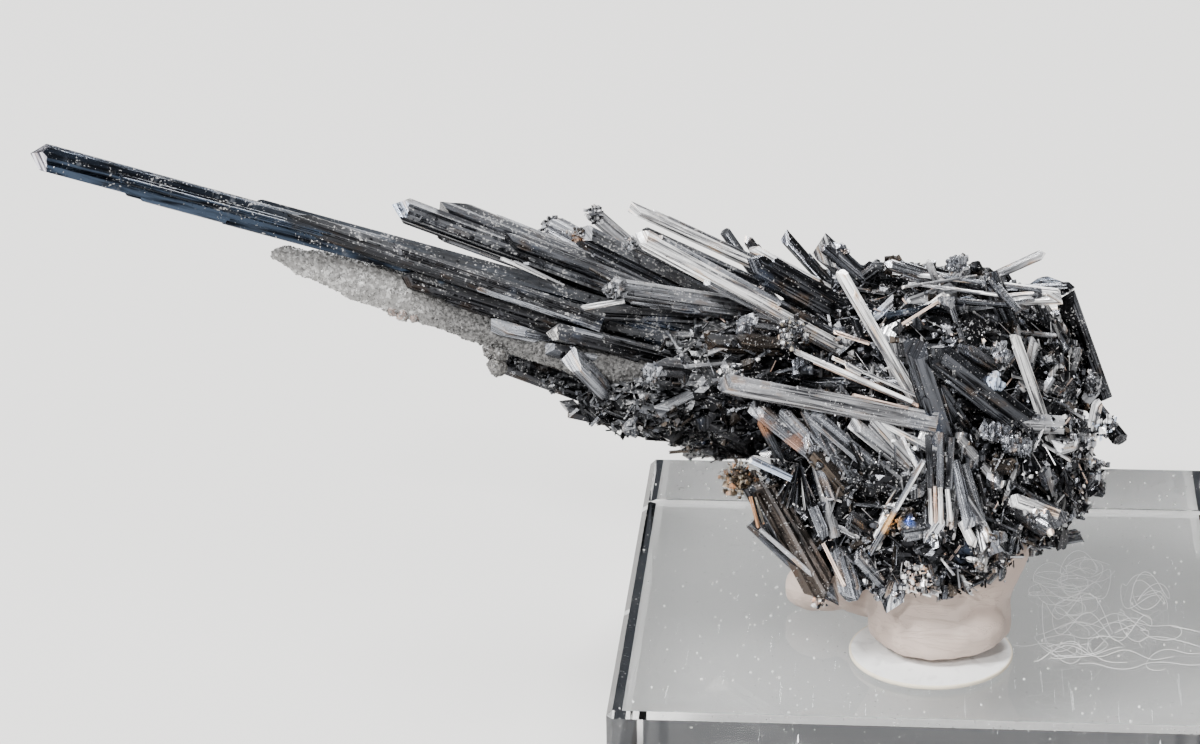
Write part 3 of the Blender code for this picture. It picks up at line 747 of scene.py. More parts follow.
detailCrystals = [
    # a fan of blades below the long light lath
    ((-14.5, -13.2, 34.6), (-5.5, -15.5, 28.0), 1.5, 0.7, "slate", "grey"),
    ((-12.0, -13.4, 34.2), (-4.5, -15.6, 27.0), 1.1, 0.6, "slate"),
    ((-9.5, -13.8, 34.0), (-2.0, -15.4, 28.0), 1.4, 0.6, "slate"),
    ((-6.5, -14.0, 33.6), (-1.0, -15.2, 29.4), 1.2, 0.6, "pale"),
    ((-10.0, -14.4, 32.4), (-6.5, -16.0, 26.0), 1.2, 0.6, "slate"),
    ((-13.6, -13.6, 33.4), (-10.5, -15.0, 27.5), 0.9, 0.6, "lead"),
    ((-4.0, -14.0, 33.4), (1.5, -14.6, 30.5), 0.6, 0.4, "bright"),
    ((-5.0, -13.8, 33.9), (0.5, -14.4, 31.4), 0.4, 0.3, "bright"),
    # needles that end at the long light lath
    ((-11.0, -11.5, 38.5), (-1.5, -13.4, 35.0), 0.5, 0.4, "bright"),
    ((-9.5, -11.5, 37.6), (-1.0, -13.2, 34.6), 0.35, 0.3, "flesh"),
    ((-8.0, -12.0, 38.2), (-1.0, -13.2, 35.4), 0.3, 0.3, "bright"),
    ((-7.0, -11.5, 36.9), (-1.5, -13.0, 34.8), 0.3, 0.3, "flesh"),
    # laths that lie along the top ridge
    ((10.3, -5.5, 41.7), (-3.3, -4.5, 42.7), 0.5, 0.4, "bright"),
    ((5.4, -7.2, 41.9), (-2.0, -6.2, 42.4), 0.35, 0.3, "bright"),
    ((1.3, -7.8, 42.1), (-3.0, -10.3, 40.1), 0.3, 0.3, "flesh"),
    ((3.4, -7.6, 41.7), (-3.7, -9.4, 40.8), 0.8, 0.6, "steel"),
    ((6.8, -8.2, 41.4), (1.3, -8.0, 41.7), 0.7, 0.5, "lead"),
    ((4.1, -5.4, 43.1), (6.8, -9.4, 41.4), 0.9, 0.6, "lead"),
    ((8.8, -6.0, 41.9), (0.5, -5.4, 42.8), 0.4, 0.3, "slate"),
    ((-2.5, -6.8, 42.3), (3.5, -5.2, 42.8), 0.3, 0.3, "pale"),
    ((8.2, -7.2, 41.6), (3.0, -8.6, 41.2), 0.4, 0.3, "grey"),
    ((-7.9, -11.4, 40.2), (-5.0, -11.9, 39.4), 0.35, 0.3, "flesh"),
    ((-7.0, -13.2, 38.2), (-5.6, -13.2, 37.4), 0.7, 0.5, "bright"),
    ((-6.3, -14.4, 36.0), (-1.8, -14.6, 35.0), 0.3, 0.3, "flesh"),
    # the bright striped block at the foot and what stands round it
    ((0.1, -17.3, 29.0), (-0.2, -15.6, 33.2), 0.7, 0.5, "grey"),
    ((0.8, -17.3, 29.0), (0.8, -15.6, 33.4), 0.7, 0.5, "slate"),
    ((1.5, -17.2, 29.0), (1.7, -15.6, 33.0), 0.6, 0.5, "grey"),
    ((3.3, -17.8, 26.0), (1.9, -16.0, 31.2), 1.0, 0.6, "slate"),
    ((4.4, -17.4, 25.6), (2.7, -15.8, 30.8), 0.9, 0.5, "grey"),
    ((-4.7, -18.3, 23.8), (-0.5, -16.8, 31.5), 0.6, 0.45, "slate", "ice"),
    ((-2.6, -18.2, 27.6), (-0.5, -17.1, 31.4), 0.22, 0.2, "bright"),
    ((0.2, -18.3, 26.5), (0.0, -17.6, 29.4), 0.4, 0.35, "bright"),
    ((0.55, -18.4, 26.7), (0.4, -17.6, 29.6), 0.35, 0.3, "flesh"),
    ((0.95, -18.4, 26.6), (0.8, -17.6, 29.5), 0.45, 0.35, "bright"),
    ((1.7, -18.2, 26.8), (1.4, -17.2, 29.2), 0.45, 0.35, "bright"),
    ((4.4, -17.7, 26.3), (2.3, -16.4, 29.4), 0.5, 0.35, "pale"),
    ((3.9, -17.6, 26.3), (2.9, -16.0, 29.4), 0.4, 0.3, "slate"),
    ((3.7, -18.2, 24.6), (2.6, -17.2, 26.4), 1.0, 0.8, "bright"),
    ((4.9, -17.6, 24.9), (4.0, -16.6, 26.5), 0.9, 0.8, "bright"),
    ((6.4, -15.0, 27.5), (10.3, -15.6, 26.3), 1.3, 0.5, "bright"),
    ((9.7, -16.6, 25.0), (9.2, -15.4, 26.8), 0.7, 0.6, "flesh"),
    ((0.4, -17.8, 20.4), (-1.9, -17.6, 20.9), 0.9, 0.7, "bright"),
    # beside the stout crystals of the foot; the first, pale lath is a painted highlight along the lower stout crystal
    ((-9.2, -17.75, 21.6), (-13.5, -16.85, 25.2), 0.45, 0.3, "pale", "grey"),
    ((-13.6, -16.75, 25.2), (-14.3, -15.9, 27.6), 0.35, 0.3, "rust", "rust"),
    ((-13.2, -16.85, 25.6), (-13.9, -16.0, 27.6), 0.2, 0.2, "sand", "rust"),
    ((-14.5, -15.7, 28.0), (-12.2, -15.2, 28.7), 1.1, 0.7, "umber", "lead"),
    ((-8.3, -16.9, 24.9), (-10.0, -15.4, 27.6), 1.4, 0.8, "black"),
    ((-12.1, -16.3, 27.9), (-10.6, -15.4, 30.2), 0.22, 0.15, "grey"),
    ((-11.8, -16.4, 27.2), (-10.6, -15.4, 30.2), 0.3, 0.2, "black"),
    ((-11.4, -16.5, 26.8), (-10.5, -15.5, 29.8), 0.2, 0.15, "pale"),
    ((-11.1, -16.6, 27.0), (-10.5, -15.4, 30.2), 0.3, 0.2, "lead"),
    ((-10.7, -16.6, 26.5), (-10.4, -15.5, 29.4), 0.2, 0.15, "slate"),
    ((-10.3, -16.6, 26.8), (-10.4, -15.4, 30.2), 0.3, 0.2, "black"),
    ((-9.9, -16.5, 26.7), (-10.3, -15.5, 29.2), 0.2, 0.15, "bright"),
    ((-9.5, -16.5, 27.2), (-10.3, -15.4, 30.2), 0.3, 0.2, "lead"),
    ((-9.1, -16.3, 27.5), (-10.2, -15.5, 29.6), 0.2, 0.15, "grey"),
    ((-14.4, -15.6, 30.8), (-11.0, -16.2, 29.4), 0.7, 0.45, "ice", "bright"),
    ((-7.8, -16.8, 27.8), (-9.0, -15.6, 30.6), 1.0, 0.5, "slate"),
    ((-8.2, -17.4, 24.7), (-9.3, -16.4, 27.0), 1.1, 0.5, "slate"),
    ((-6.6, -18.5, 21.0), (-8.4, -17.6, 24.4), 0.35, 0.3, "flesh"),
    # light lines in the sheaf: the white and pale laths are painted highlights
    ((-34.6, -10.4, 45.6), (-31.0, -10.0, 43.8), 0.35, 0.3, "bright"),
    ((-33.6, -10.4, 45.4), (-29.6, -10.0, 43.2), 0.3, 0.3, "pale"),
    ((-28.2, -11.9, 42.0), (-24.6, -11.6, 42.6), 0.55, 0.4, "bright"),
    ((-27.6, -9.6, 44.6), (-25.4, -9.4, 43.2), 0.3, 0.3, "brown"),
    # a black lath behind the gap over the blade's root, as painted shade in that gap
    ((-28.5, -9.0, 39.6), (-17.0, -8.0, 37.0), 2.2, 1.6, "black"),
]
chunks = [  # place, radii, colour
    ((-8.0, -3.2, 44.1), (1.3, 0.8, 0.8), "slate"),
    ((1.8, -4.0, 43.4), (1.2, 0.7, 0.7), "slate"),
    ((-3.2, -3.5, 42.9), (0.9, 0.7, 0.9), "brown"),
    ((1.3, -12.4, 39.6), (1.0, 0.8, 1.1), "lead"),
    ((5.4, -12.0, 39.0), (0.8, 0.7, 0.9), "slate"),
    ((4.9, -12.6, 36.6), (0.9, 0.6, 1.0), "ice"),
    ((12.0, -8.2, 30.6), (1.2, 0.8, 1.3), "grey"),
    ((13.2, -5.5, 33.6), (0.8, 0.8, 1.2), "grey"),
    ((5.2, -13.6, 32.6), (1.7, 0.9, 1.1), "slate"),
    ((-15.3, -13.4, 27.8), (1.4, 1.2, 1.6), "brown"),
    ((-25.2, -11.2, 43.3), (1.0, 0.8, 1.1), "grey"),
    ((-11.2, -12.0, 40.4), (1.3, 0.8, 0.8), "grey"),
    ((-15.0, -10.6, 40.2), (0.8, 0.7, 0.8), "slate"),
    ((-22.2, -13.8, 37.4), (0.8, 0.7, 0.9), "slate"),
    ((-31.8, 4.3, 42.8), (1.6, 1.1, 1.4), "grey"),
    ((-3.2, -17.2, 20.0), (1.9, 0.9, 0.9), "slate"),
    ((1.3, -17.4, 25.4), (1.1, 0.7, 0.8), "black"),
    ((-1.7, -17.3, 26.7), (0.9, 0.7, 0.9), "brown"),
    ((7.0, -13.8, 31.4), (1.6, 0.9, 1.0), "slate"),
]
rubble = [  # place, spread, how many, least and most size, colours
    ((-0.8, -17.4, 21.8), 1.5, 90, 0.2, 0.7, ("bright", "bright", "flesh", "grey", "black")),
    ((-11.5, -14.9, 29.4), 1.2, 90, 0.1, 0.4, ("bright", "grey", "lead", "black", "black")),
    ((10.6, -9.8, 24.4), 2.2, 110, 0.15, 0.6, ("bright", "pale", "lead", "black")),
    ((3.5, -16.4, 23.2), 1.1, 30, 0.3, 0.8, ("bright", "bright", "pale")),
    ((8.6, -15.0, 26.0), 1.2, 40, 0.25, 0.7, ("bright", "pale", "grey")),
    ((-0.9, -18.2, 22.0), 1.7, 160, 0.12, 0.45, ("bright", "bright", "flesh", "lead", "black")),
    ((-8.6, -17.8, 19.4), 0.7, 40, 0.15, 0.5, ("bright", "flesh", "grey", "black")),
    ((-12.6, -15.2, 29.6), 1.0, 60, 0.15, 0.45, ("grey", "lead", "black")),
    ((14.0, -8.2, 31.0), 1.2, 50, 0.15, 0.6, ("ice", "bright", "black", "grey")),
    ((13.4, -9.0, 27.6), 1.2, 50, 0.15, 0.6, ("ice", "bright", "black", "grey")),
    ((-25.4, -11.3, 43.4), 0.8, 60, 0.15, 0.5, ("grey", "slate", "lead", "pale")),
    ((-28.8, -7.8, 46.9), 0.7, 50, 0.12, 0.4, ("grey", "slate", "brown", "pale")),
    ((-15.4, -13.8, 28.2), 1.6, 150, 0.12, 0.45, ("sand", "rust", "brown", "brown", "black")),
    ((-11.2, -12.4, 40.4), 1.4, 110, 0.12, 0.45, ("sand", "grey", "grey", "lead", "bright")),
    ((-16.0, -12.4, 36.6), 1.1, 60, 0.1, 0.4, ("pale", "bright", "grey")),
    ((-22.4, -13.4, 36.8), 1.0, 60, 0.12, 0.4, ("grey", "slate", "lead", "black")),
    ((-27.6, -4.2, 47.2), 0.8, 60, 0.15, 0.45, ("pale", "slate", "lead", "grey")),
    ((-34.0, -9.4, 36.3), 1.0, 110, 0.12, 0.5, ("grey", "lead", "black", "black")),
    ((-30.4, -9.8, 34.8), 1.2, 110, 0.12, 0.5, ("grey", "lead", "black", "black")),
    ((-24.4, -8.6, 46.3), 0.6, 50, 0.15, 0.45, ("pale", "grey", "slate")),
]
sideLaths = {"every": 8.0, "most": 8, "width": (0.2, 0.5), "setBack": (0.02, 0.6), "seed": 5}
spreadSeed = 31  # the turns and places of the crystals in the solid


def growMainCrystals(prisms, slivers):
    crop = Crop(prisms)
    turns = random.Random(spreadSeed)
    dice = random.Random(sideLaths["seed"])
    for tip, root, width, thickness, colour, *endColour in mainCrystals:
        tip, root = Vector(tip), Vector(root)
        turn = math.radians(turns.uniform(-28, 28))
        for _ in range(3):
            turns.random()
        crop.lath(tip, root, width, thickness, turn, tintOf(colour, dice), dice, *endColour)
        along, across, through = crystalFrame(tip, root, turn)
        length = (tip - root).length
        for _ in range(min(sideLaths["most"], 2 + int(length / sideLaths["every"]))):
            angle = dice.uniform(0, math.tau)
            thin = width * dice.uniform(*sideLaths["width"])
            reach = 0.52 - 0.3 * thin / width
            shift = across * (math.cos(angle) * width * reach) + through * (math.sin(angle) * thickness * reach)
            sideTip = tip.lerp(root, dice.uniform(*sideLaths["setBack"])) + shift
            same = dice.random() < 0.65 or colour == "gunmetal"
            sideColour = colour if same else dice.choice(("lead", "grey", "black", "slate"))
            spin = turn + math.radians(dice.uniform(-12, 12))
            flat = thin * dice.uniform(0.5, 0.9)
            crop.lath(sideTip, root + shift, thin, flat, spin, tintOf(sideColour, dice), dice)
    for tip, root, width, thickness, colour, *endColour in detailCrystals:
        turn = math.radians(dice.uniform(-20, 20))
        crop.lath(Vector(tip), Vector(root), width, thickness, turn, tintOf(colour, dice), dice, *endColour)
    return crop.harvest("stibnite_prisms")


# Lesser crystals round each heart lump: lump, how many, lengths, widths, outward lean
matLayers = [
    (0, 300, (2.4, 6.0), (0.3, 0.85), (-0.15, 0.5)),
    (1, 170, (2.0, 5.0), (0.25, 0.8), (-0.15, 0.5)),
    (2, 120, (2.0, 5.5), (0.25, 0.7), (-0.15, 0.4)),
    (3, 110, (2.0, 4.5), (0.25, 0.75), (-0.15, 0.5)),
    (4, 110, (2.0, 4.0), (0.25, 0.9), (-0.15, 0.5)),
    (5, 46, (2.0, 4.0), (0.25, 0.7), (-0.15, 0.3)),
    (0, 900, (0.8, 3.4), (0.08, 0.3), (-0.2, 0.9)),
    (1, 520, (0.7, 3.0), (0.08, 0.3), (-0.2, 0.9)),
    (2, 420, (0.7, 3.0), (0.08, 0.3), (-0.2, 0.7)),
    (3, 360, (0.7, 2.8), (0.08, 0.28), (-0.2, 0.9)),
    (4, 420, (0.6, 2.4), (0.08, 0.3), (-0.2, 0.9)),
    (5, 200, (0.6, 2.4), (0.08, 0.3), (-0.2, 0.6)),
]
solidLayers = [  # lump, how many, shortest, longest
    (0, 54, 5.0, 9.5),
    (1, 26, 4.0, 7.0),
    (2, 22, 4.5, 8.0),
    (3, 20, 4.0, 6.5),
    (4, 12, 3.0, 4.5),
    (5, 6, 3.0, 5.0),
]
matGrain = [
    Vector((-0.86, -0.1, 0.5)),
    Vector((-0.3, 0.1, 0.9)),
    Vector((-0.9, 0.0, 0.4)),
    Vector((0.35, 0.0, -0.9)),
    Vector((0.2, 0.0, -0.9)),
    Vector((-0.9, 0.0, 0.35)),
]
matColours = ("black", "black", "lead", "lead", "grey", "grey", "grey", "slate", "slate", "pale", "pale", "brown")
darkColours = ("black", "black", "black", "lead", "brown", "lead")
needleColours = matColours + ("bright", "bright", "bright", "flesh")
underside = 19.4
roof = 41.6  # the mat stays under a roof that slopes down to the back
roofSlope = 0.41
frontLine = -15.6  # in front of this the mat hangs lower than the underside
hangingEdge = 18.9


def colourAt(spot, choices, dice):
    # painted shade: under the sheaf the mat takes the dark colours, where the sheaf shades it
    inShade = spot.x < -13.5 and spot.z < 35.5 - 0.25 * (spot.x + 13.5)
    return tintOf(dice.choice(darkColours if inShade else choices), dice)


def underRoof(*ends):
    return max(end.z + roofSlope * end.y for end in ends) < roof


def lumpSpots(lump, count, cover):
    # evenly spread points over a lump, with the way out at each
    centre, radii = hearts[lump]
    for i in range(count):
        z = 1.0 - (2.0 * i + 1.0) / count
        ring = math.sqrt(1.0 - z * z)
        turn = goldenTurn * i
        out = Vector((ring * math.cos(turn), ring * math.sin(turn), z))
        spot = Vector(c + cover * r * o for c, r, o in zip(centre, radii, out))
        normal = Vector(o / r for r, o in zip(radii, out)).normalized()
        yield spot, normal


def growMat(slivers):
    crop = Crop(slivers)
    dice = random.Random(spreadSeed)
    grain = matGrain[0].normalized()
    places = []
    for lump, count, shortest, longest in solidLayers:
        for spot, normal in lumpSpots(lump, count, 0.98):
            lie = grain + Vector(dice.gauss(0.0, 0.7) for _ in range(3))
            lie = (lie - normal * lie.dot(normal)).normalized()
            way = (lie + normal * dice.uniform(-0.1, 0.5)).normalized()
            length = dice.uniform(shortest, longest)
            width = dice.uniform(0.9, 2.1)
            tip, root = spot + way * length * 0.5, spot - way * length * 0.5
            if min(tip.z, root.z) > underside and underRoof(tip, root):
                places.append((tip, root, width))
    looks = random.Random(41)
    for tip, root, width in places:
        turn = math.radians(dice.uniform(-28, 28))
        for _ in range(3):
            dice.random()
        crop.lath(tip, root, width, width * 0.8, turn, colourAt(tip, matColours, looks), looks)
    dice = random.Random(23)
    for number, (lump, count, lengths, widths, leans) in enumerate(matLayers):
        choices = matColours if number < 6 else needleColours
        for spot, normal in lumpSpots(lump, count, 1.0):
            lie = matGrain[lump] + Vector(dice.gauss(0.0, 0.7) for _ in range(3))
            lie = (lie - normal * lie.dot(normal)).normalized()
            way = (lie + normal * dice.uniform(*leans)).normalized()
            length = dice.uniform(*lengths)
            width = dice.uniform(*widths)
            tip, root = spot + way * length * 0.5, spot - way * length * 0.5
            buried = openness(np.array([tuple(spot), tuple(tip), tuple(root)])).max() <= 0.0
            lowest = hangingEdge if max(tip.y, root.y) < frontLine else underside
            if min(tip.z, root.z) > lowest and not buried and underRoof(tip, root):
                spin = dice.uniform(0, math.tau)
                flat = width * dice.uniform(0.4, 0.9)
                crop.lath(tip, root, width, flat, spin, colourAt(spot, choices, dice), dice)
    return crop.harvest("stibnite_mat")


def surfaceSpots(item, count, weigh, seed):
    # seeded random points on the faces of a piece, in mm, with their normals
    mesh = item.data
    number = len(mesh.polygons)
    centres, normals = np.empty(number * 3), np.empty(number * 3)
    areas = np.empty(number)
    mesh.polygons.foreach_get("center", centres)
    mesh.polygons.foreach_get("normal", normals)
    mesh.polygons.foreach_get("area", areas)
    centres, normals = centres.reshape(-1, 3) / mm, normals.reshape(-1, 3)
    share = areas * weigh(centres, normals)
    luck = np.random.default_rng(seed)
    picked = luck.choice(number, size=count, p=share / share.sum())
    for face in picked:
        corners = mesh.polygons[face].vertices
        start = int(luck.integers(1, len(corners) - 1))
        a, b, c = (mesh.vertices[corners[k]].co / mm for k in (0, start, start + 1))
        u, v = luck.random(2)
        if u + v > 1.0:
            u, v = 1.0 - u, 1.0 - v
        yield a + (b - a) * u + (c - a) * v, Vector(normals[face])


# Broken bits on the pieces: piece, how many, least and most size, colours, seed
shardLayers = [
    ("mat", 900, 0.5, 1.3, ("black", "lead", "lead", "grey", "grey", "slate", "slate", "pale", "brown"), 6),
]
crumbLayers = [
    ("mat", 6500, 0.07, 0.38, ("black", "lead", "lead", "grey", "grey", "slate", "slate", "pale", "pale", "bright"), 7),
    ("prisms", 2000, 0.04, 0.1, ("lead", "grey", "slate", "pale", "pale", "bright"), 8),
]


def strew(crop, layers, pieces, dice):
    seen = lambda centres, normals: 0.02 + openness(centres) * (centres[:, 2] > underside + 0.3)
    for piece, count, least, most, colours, seed in layers:
        for spot, normal in surfaceSpots(pieces[piece], count, seen, seed):
            size = least + (most - least) * dice.random() ** 2
            crop.shard(spot, size, colourAt(spot, colours, dice), dice)


def growCrumbs(crumbs, pieces):
    crop = Crop(crumbs)
    strew(crop, crumbLayers, pieces, random.Random(62))
    return crop.harvest("stibnite_crumbs")


def growShards(shards, pieces):
    crop = Crop(shards)
    dice = random.Random(61)
    strew(crop, shardLayers, pieces, dice)
    for place, radii, colour in chunks:
        for _ in range(70):
            way = Vector(dice.gauss(0.0, 1.0) for _ in range(3)).normalized() * dice.uniform(0.3, 0.8)
            spot = Vector(c + r * w for c, r, w in zip(place, radii, way))
            crop.shard(spot, dice.uniform(0.25, 0.75), tintOf(colour, dice), dice)
    for place, spread, count, least, most, colours in rubble:
        for _ in range(count):
            way = Vector(dice.gauss(0.0, 1.0) for _ in range(3)).normalized()
            spot = Vector(place) + way * spread * dice.random() ** 0.6
            crop.shard(spot, dice.uniform(least, most), tintOf(dice.choice(colours), dice), dice)
    return crop.harvest("stibnite_shards")


def growHeart():
    lumps = []
    for number, (centre, radii) in enumerate(hearts):
        deselectAll()
        bpy.ops.mesh.primitive_ico_sphere_add(subdivisions=5, radius=1.0, location=Vector(centre) * mm)
        lump = bpy.context.object
        lump.scale = Vector(radii) * mm * 0.97
        applyPlace(lump)
        for size, strength in ((2.4, 1.5), (0.8, 0.8)):
            roughen(lump, "VORONOI", size, strength, 0.6)
        applyModifiers(lump)
        lumps.append(lump)
    heart = joinAll(lumps, "stibnite_heart")
    heart.data.uv_layers[0].name = "grain"
    # Painted shade: the core is black, standing for the shade deep inside the mat.
    paint(heart, palette["black"])
    return heart


def roughen(item, kind, size, strength, middle=0.5):
    texture = bpy.data.textures.new(f"{item.name}_{kind}_{size}", kind)
    texture.noise_scale = size * mm
    modifier = item.modifiers.new("rough", "DISPLACE")
    modifier.texture = texture
    modifier.texture_coords = "GLOBAL"
    modifier.strength = strength * mm
    modifier.mid_level = middle


def paint(item, colour):
    tint = np.tile(colour[:4], len(item.data.loops))
    item.data.attributes.new("ownColour", "FLOAT_COLOR", "CORNER").data.foreach_set("color", tint)


# ---- the blade with its crust of tiny crystals ----

blade = {
    "tip": (-53.0, -11.5, 46.3),
    "root": (-21.5, -9.8, 35.0),
    "stations": [  # share of the length, half width, half thickness
        (0.00, 0.25, 0.25),
        (0.03, 0.75, 0.50),
        (0.10, 1.20, 0.80),
        (0.20, 1.55, 1.00),
        (0.32, 1.80, 1.10),
        (0.45, 1.85, 1.15),
        (0.58, 1.85, 1.15),
        (0.72, 1.90, 1.15),
        (0.86, 1.75, 1.10),
        (1.00, 1.30, 0.90),
    ],
    "sides": 14,
    "grains": 10500,
    "grainSize": (0.07, 0.24),
    "lumps": [  # place, radius, colour
        ((-34.9, -12.4, 37.0), 0.75, (1.0, 0.98, 0.94)),
        ((-34.7, -12.2, 37.9), 0.6, (0.9, 0.88, 0.85)),
        ((-35.6, -12.0, 38.2), 0.5, (0.85, 0.82, 0.8)),
        ((-43.3, -11.6, 41.5), 0.55, (0.75, 0.58, 0.52)),
        ((-42.5, -11.6, 41.2), 0.6, (0.7, 0.54, 0.48)),
        ((-41.6, -11.6, 40.9), 0.5, (0.7, 0.55, 0.5)),
    ],
}


def modelGrain():
    deselectAll()
    bpy.ops.mesh.primitive_uv_sphere_add(segments=4, ring_count=2, radius=0.6)
    return bpy.context.object


def growBlade():
    tip, root = Vector(blade["tip"]), Vector(blade["root"])
    length = (root - tip).length
    stations = blade["stations"]
    deselectAll()
    bpy.ops.mesh.primitive_cylinder_add(vertices=blade["sides"], radius=1.0, depth=1.0, location=(0, 0, 0.5))
    body = bpy.context.object
    body.name = "druse_blade"
    applyPlace(body)
    startEdit(body, "EDGE")
    selectEdges(lambda a, b: abs(a.z - b.z) > 0.5)
    bpy.ops.mesh.subdivide(number_cuts=len(stations) - 2)
    bpy.ops.mesh.select_mode(type="VERT")
    step = 1.0 / (len(stations) - 1)
    for k, (share, halfWidth, halfThickness) in enumerate(stations):
        selectVerts(lambda co: abs(co.z - k * step) < 0.01)
        bpy.ops.transform.resize(value=(halfWidth, halfThickness, 1.0), center_override=(0.0, 0.0, k * step))
        bpy.ops.transform.translate(value=(0.0, 0.0, (share - k * step) * 0.999 + k * 10.0))
    selectVerts(lambda co: True)
    endEdit()
    along = (root - tip).normalized()
    through = (front - along * front.dot(along)).normalized()
    across = along.cross(through)
    for vert in body.data.vertices:
        k = round((vert.co.z - 0.5) / 10.0)
        z = (vert.co.z - k * 10.0) * length
        vert.co = (tip + across * vert.co.x + through * vert.co.y + along * z) * mm
    smoother = body.modifiers.new("smooth", "SUBSURF")
    smoother.levels = smoother.render_levels = 3
    roughen(body, "CLOUDS", 1.6, 0.5)
    roughen(body, "VORONOI", 0.5, 0.16, 0.6)
    applyModifiers(body)
    paint(body, (0.85, 0.85, 0.85, 0.0))
    lumps = [body]
    for place, radius, colour in blade["lumps"]:
        deselectAll()
        bpy.ops.mesh.primitive_ico_sphere_add(subdivisions=4, radius=radius * mm, location=Vector(place) * mm)
        lump = bpy.context.object
        lump.name = "druse_lump"
        applyPlace(lump)
        roughen(lump, "CLOUDS", 0.6, 0.4)
        applyModifiers(lump)
        paint(lump, (*colour, 0.0))
        lumps.append(lump)
    crust = joinAll(lumps, "druse_crust")
    grain = modelGrain()
    crop = Crop([grain])
    bpy.data.objects.remove(grain)
    dice = random.Random(77)
    least, most = blade["grainSize"]
    for spot, normal in surfaceSpots(crust, blade["grains"], lambda centres, normals: 1.0, 19):
        tone = dice.choice((0.5, 0.75, 0.9, 1.0, 1.1, 1.9))
        size = least + (most - least) * dice.random() ** 2
        crop.shard(spot, size, (tone, tone, tone, 0.0), dice)
    turnOutwards(crust)
    return joinAll([crust, crop.harvest("druse_grains")], "druse_crust")


# ---- putty, disc, lint and dust ----

putty = {"voxel": 0.35, "smoothing": 14, "dents": (3.2, 0.55), "folds": (1.1, 0.16)}


def shapePutty():
    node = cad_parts["mounting_putty"]
    item = bpy.data.objects.new("putty_wad", node.data.copy())
    bpy.context.scene.collection.objects.link(item)
    startEdit(item)
    bpy.ops.mesh.select_all(action="SELECT")
    bpy.ops.mesh.remove_doubles(threshold=0.00001)
    endEdit()
    remesh = item.modifiers.new("remesh", "REMESH")
    remesh.mode = "VOXEL"
    remesh.voxel_size = putty["voxel"] * mm
    smoother = item.modifiers.new("smooth", "SMOOTH")
    smoother.factor = 0.6
    smoother.iterations = putty["smoothing"]
    roughen(item, "CLOUDS", *putty["dents"])
    roughen(item, "CLOUDS", *putty["folds"])
    applyModifiers(item)
    bpy.ops.object.shade_smooth()
    return item


disc = {"centre": (0.4, -13.9), "radius": 6.68, "bottom": 13.02, "thickness": 0.34, "edge": 0.1}


def shapeDisc():
    middle = disc["bottom"] + disc["thickness"] / 2
    deselectAll()
    bpy.ops.mesh.primitive_cylinder_add(
        vertices=160, radius=disc["radius"] * mm, depth=disc["thickness"] * mm,
        location=Vector((*disc["centre"], middle)) * mm,
    )
    item = bpy.context.object
    item.name = "paper_disc"
    applyPlace(item)
    startEdit(item, "FACE")
    bpy.ops.mesh.select_all(action="DESELECT")
    shape = bmesh.from_edit_mesh(item.data)
    for face in shape.faces:
        face.select_set(face.normal.z > 0.9)
    bmesh.update_edit_mesh(item.data)
    bpy.ops.mesh.inset(thickness=0.5 * mm, depth=-0.03 * mm)
    endEdit()
    bevel = item.modifiers.new("edge", "BEVEL")
    bevel.width = disc["edge"] * mm
    bevel.segments = 3
    applyModifiers(item)
    bpy.ops.object.shade_smooth_by_angle(angle=math.radians(35))
    return item


lint = {
    "area": ((9.0, -15.0), (20.5, 5.0)),  # corners on top of the block
    "fibres": 22,
    "points": (40, 110),
    "step": 0.25,
    "radius": 0.024,
    "lift": 3.6,
    "seed": 12,
}


def growLint():
    dice = random.Random(lint["seed"])
    (x0, y0), (x1, y1) = lint["area"]
    curve = bpy.data.curves.new("lint_fibres", "CURVE")
    curve.dimensions = "3D"
    curve.bevel_depth = lint["radius"] * mm
    curve.bevel_resolution = 0
    curve.use_fill_caps = True
    for _ in range(lint["fibres"]):
        x, y = dice.uniform(x0, x1), dice.uniform(y0, y1)
        heading, bend = dice.uniform(0, math.tau), dice.choice((-1, 1)) * dice.uniform(0.04, 0.15)
        count = dice.randint(*lint["points"])
        rise, phase = dice.uniform(0.1, lint["lift"]), dice.uniform(0, 3)
        points = []
        for k in range(count):
            bend = max(min(bend + dice.gauss(0.0, 0.02), 0.22), -0.22)
            heading += bend
            x += math.cos(heading) * lint["step"]
            y += math.sin(heading) * lint["step"]
            inward = math.atan2((y0 + y1) / 2 - y, (x0 + x1) / 2 - x) - heading
            if not (x0 < x < x1 and y0 < y < y1):
                heading += math.copysign(0.2, math.sin(inward))
            arch = math.sin(math.pi * k / (count - 1))
            z = 12.74 + rise * arch * (0.6 + 0.4 * math.sin(0.3 * k + phase))
            points.append((x * mm, y * mm, z * mm, 1.0))
        spline = curve.splines.new("POLY")
        spline.points.add(len(points) - 1)
        for point, place in zip(spline.points, points):
            point.co = place
    item = bpy.data.objects.new("lint_fibres", curve)
    bpy.context.scene.collection.objects.link(item)
    pickOnly(item)
    bpy.ops.object.convert(target="MESH")
    return bpy.context.object


dust = {"flecks": 420, "size": (0.05, 0.17), "seed": 31}


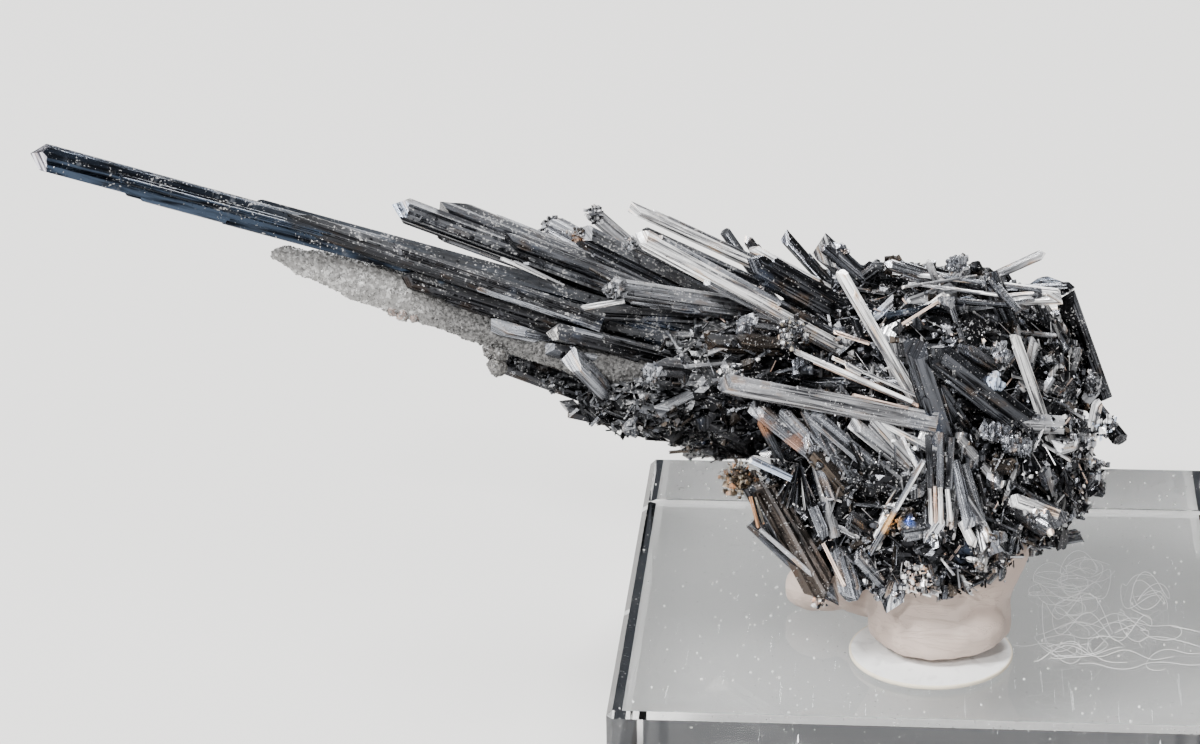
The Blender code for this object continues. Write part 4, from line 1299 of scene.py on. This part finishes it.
def growDust(crumbs):
    crop = Crop(crumbs)
    dice = random.Random(dust["seed"])
    for _ in range(dust["flecks"]):
        size = dice.uniform(*dust["size"])
        spot = (dice.uniform(-24.6, 24.6), dice.uniform(-24.6, 24.6), 12.7 + size * 0.3)
        tone = dice.choice((0.15, 0.9, 1.0, 1.1))
        crop.shard(spot, size, (tone, tone, tone, 0.0), dice)
    return crop.harvest("dust_flecks")


def main():
    addCamera()
    addLights()
    deselectAll()
    bpy.ops.mesh.primitive_plane_add(size=6.0, location=(0.0, 0.0, -0.2 * mm))
    floor = bpy.context.object
    floor.name = "floor"
    floor.data.materials.append(makeFloor())
    dice = random.Random(3)
    prismUnits = [modelPrism(f"prism_{n}", 6, look, dice) for n, look in enumerate(prismLooks)]
    slivers = [modelPrism(f"sliver_{n}", 4, look, dice) for n, look in enumerate(sliverLooks)]
    shards = [modelShard(f"shard_{n}", shardCuts, dice) for n in range(4)]
    crumbs = [modelShard(f"crumb_{n}", crumbCuts, dice) for n in range(4)]
    print("unit crystals modelled")
    stibnite = makeStibnite()
    prisms = growMainCrystals(prismUnits, slivers)
    print("main crystals grown")
    mat = growMat(slivers)
    print("mat grown")
    pieces = {"prisms": prisms, "mat": mat}
    bits = (growShards(shards, pieces), growCrumbs(crumbs, pieces), growHeart())
    turnOutwards(prisms)
    turnOutwards(mat)
    for piece in (prisms, mat, *bits):
        hand(piece, stibnite, "stibnite", "stibnite_spray")
        print(piece.name, len(piece.data.polygons), "faces")
    hand(growBlade(), makeDruse(), "druse", "stibnite_spray")
    print("blade grown")
    hand(shapePutty(), makePutty(), "putty", "mounting_putty")
    hand(shapeDisc(), makeDisc(), "disc", "adhesive_disc")
    lintMaterial = makeLint()
    hand(growLint(), lintMaterial, "lint")
    hand(growDust(crumbs), lintMaterial, "lint")
    print("putty, disc, lint and dust in place")
    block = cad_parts["acrylic_base"]
    block.data.materials.clear()
    block.data.materials.append(makeAcrylic())
    for unit in prismUnits + slivers + shards + crumbs:
        bpy.data.objects.remove(unit)


main()
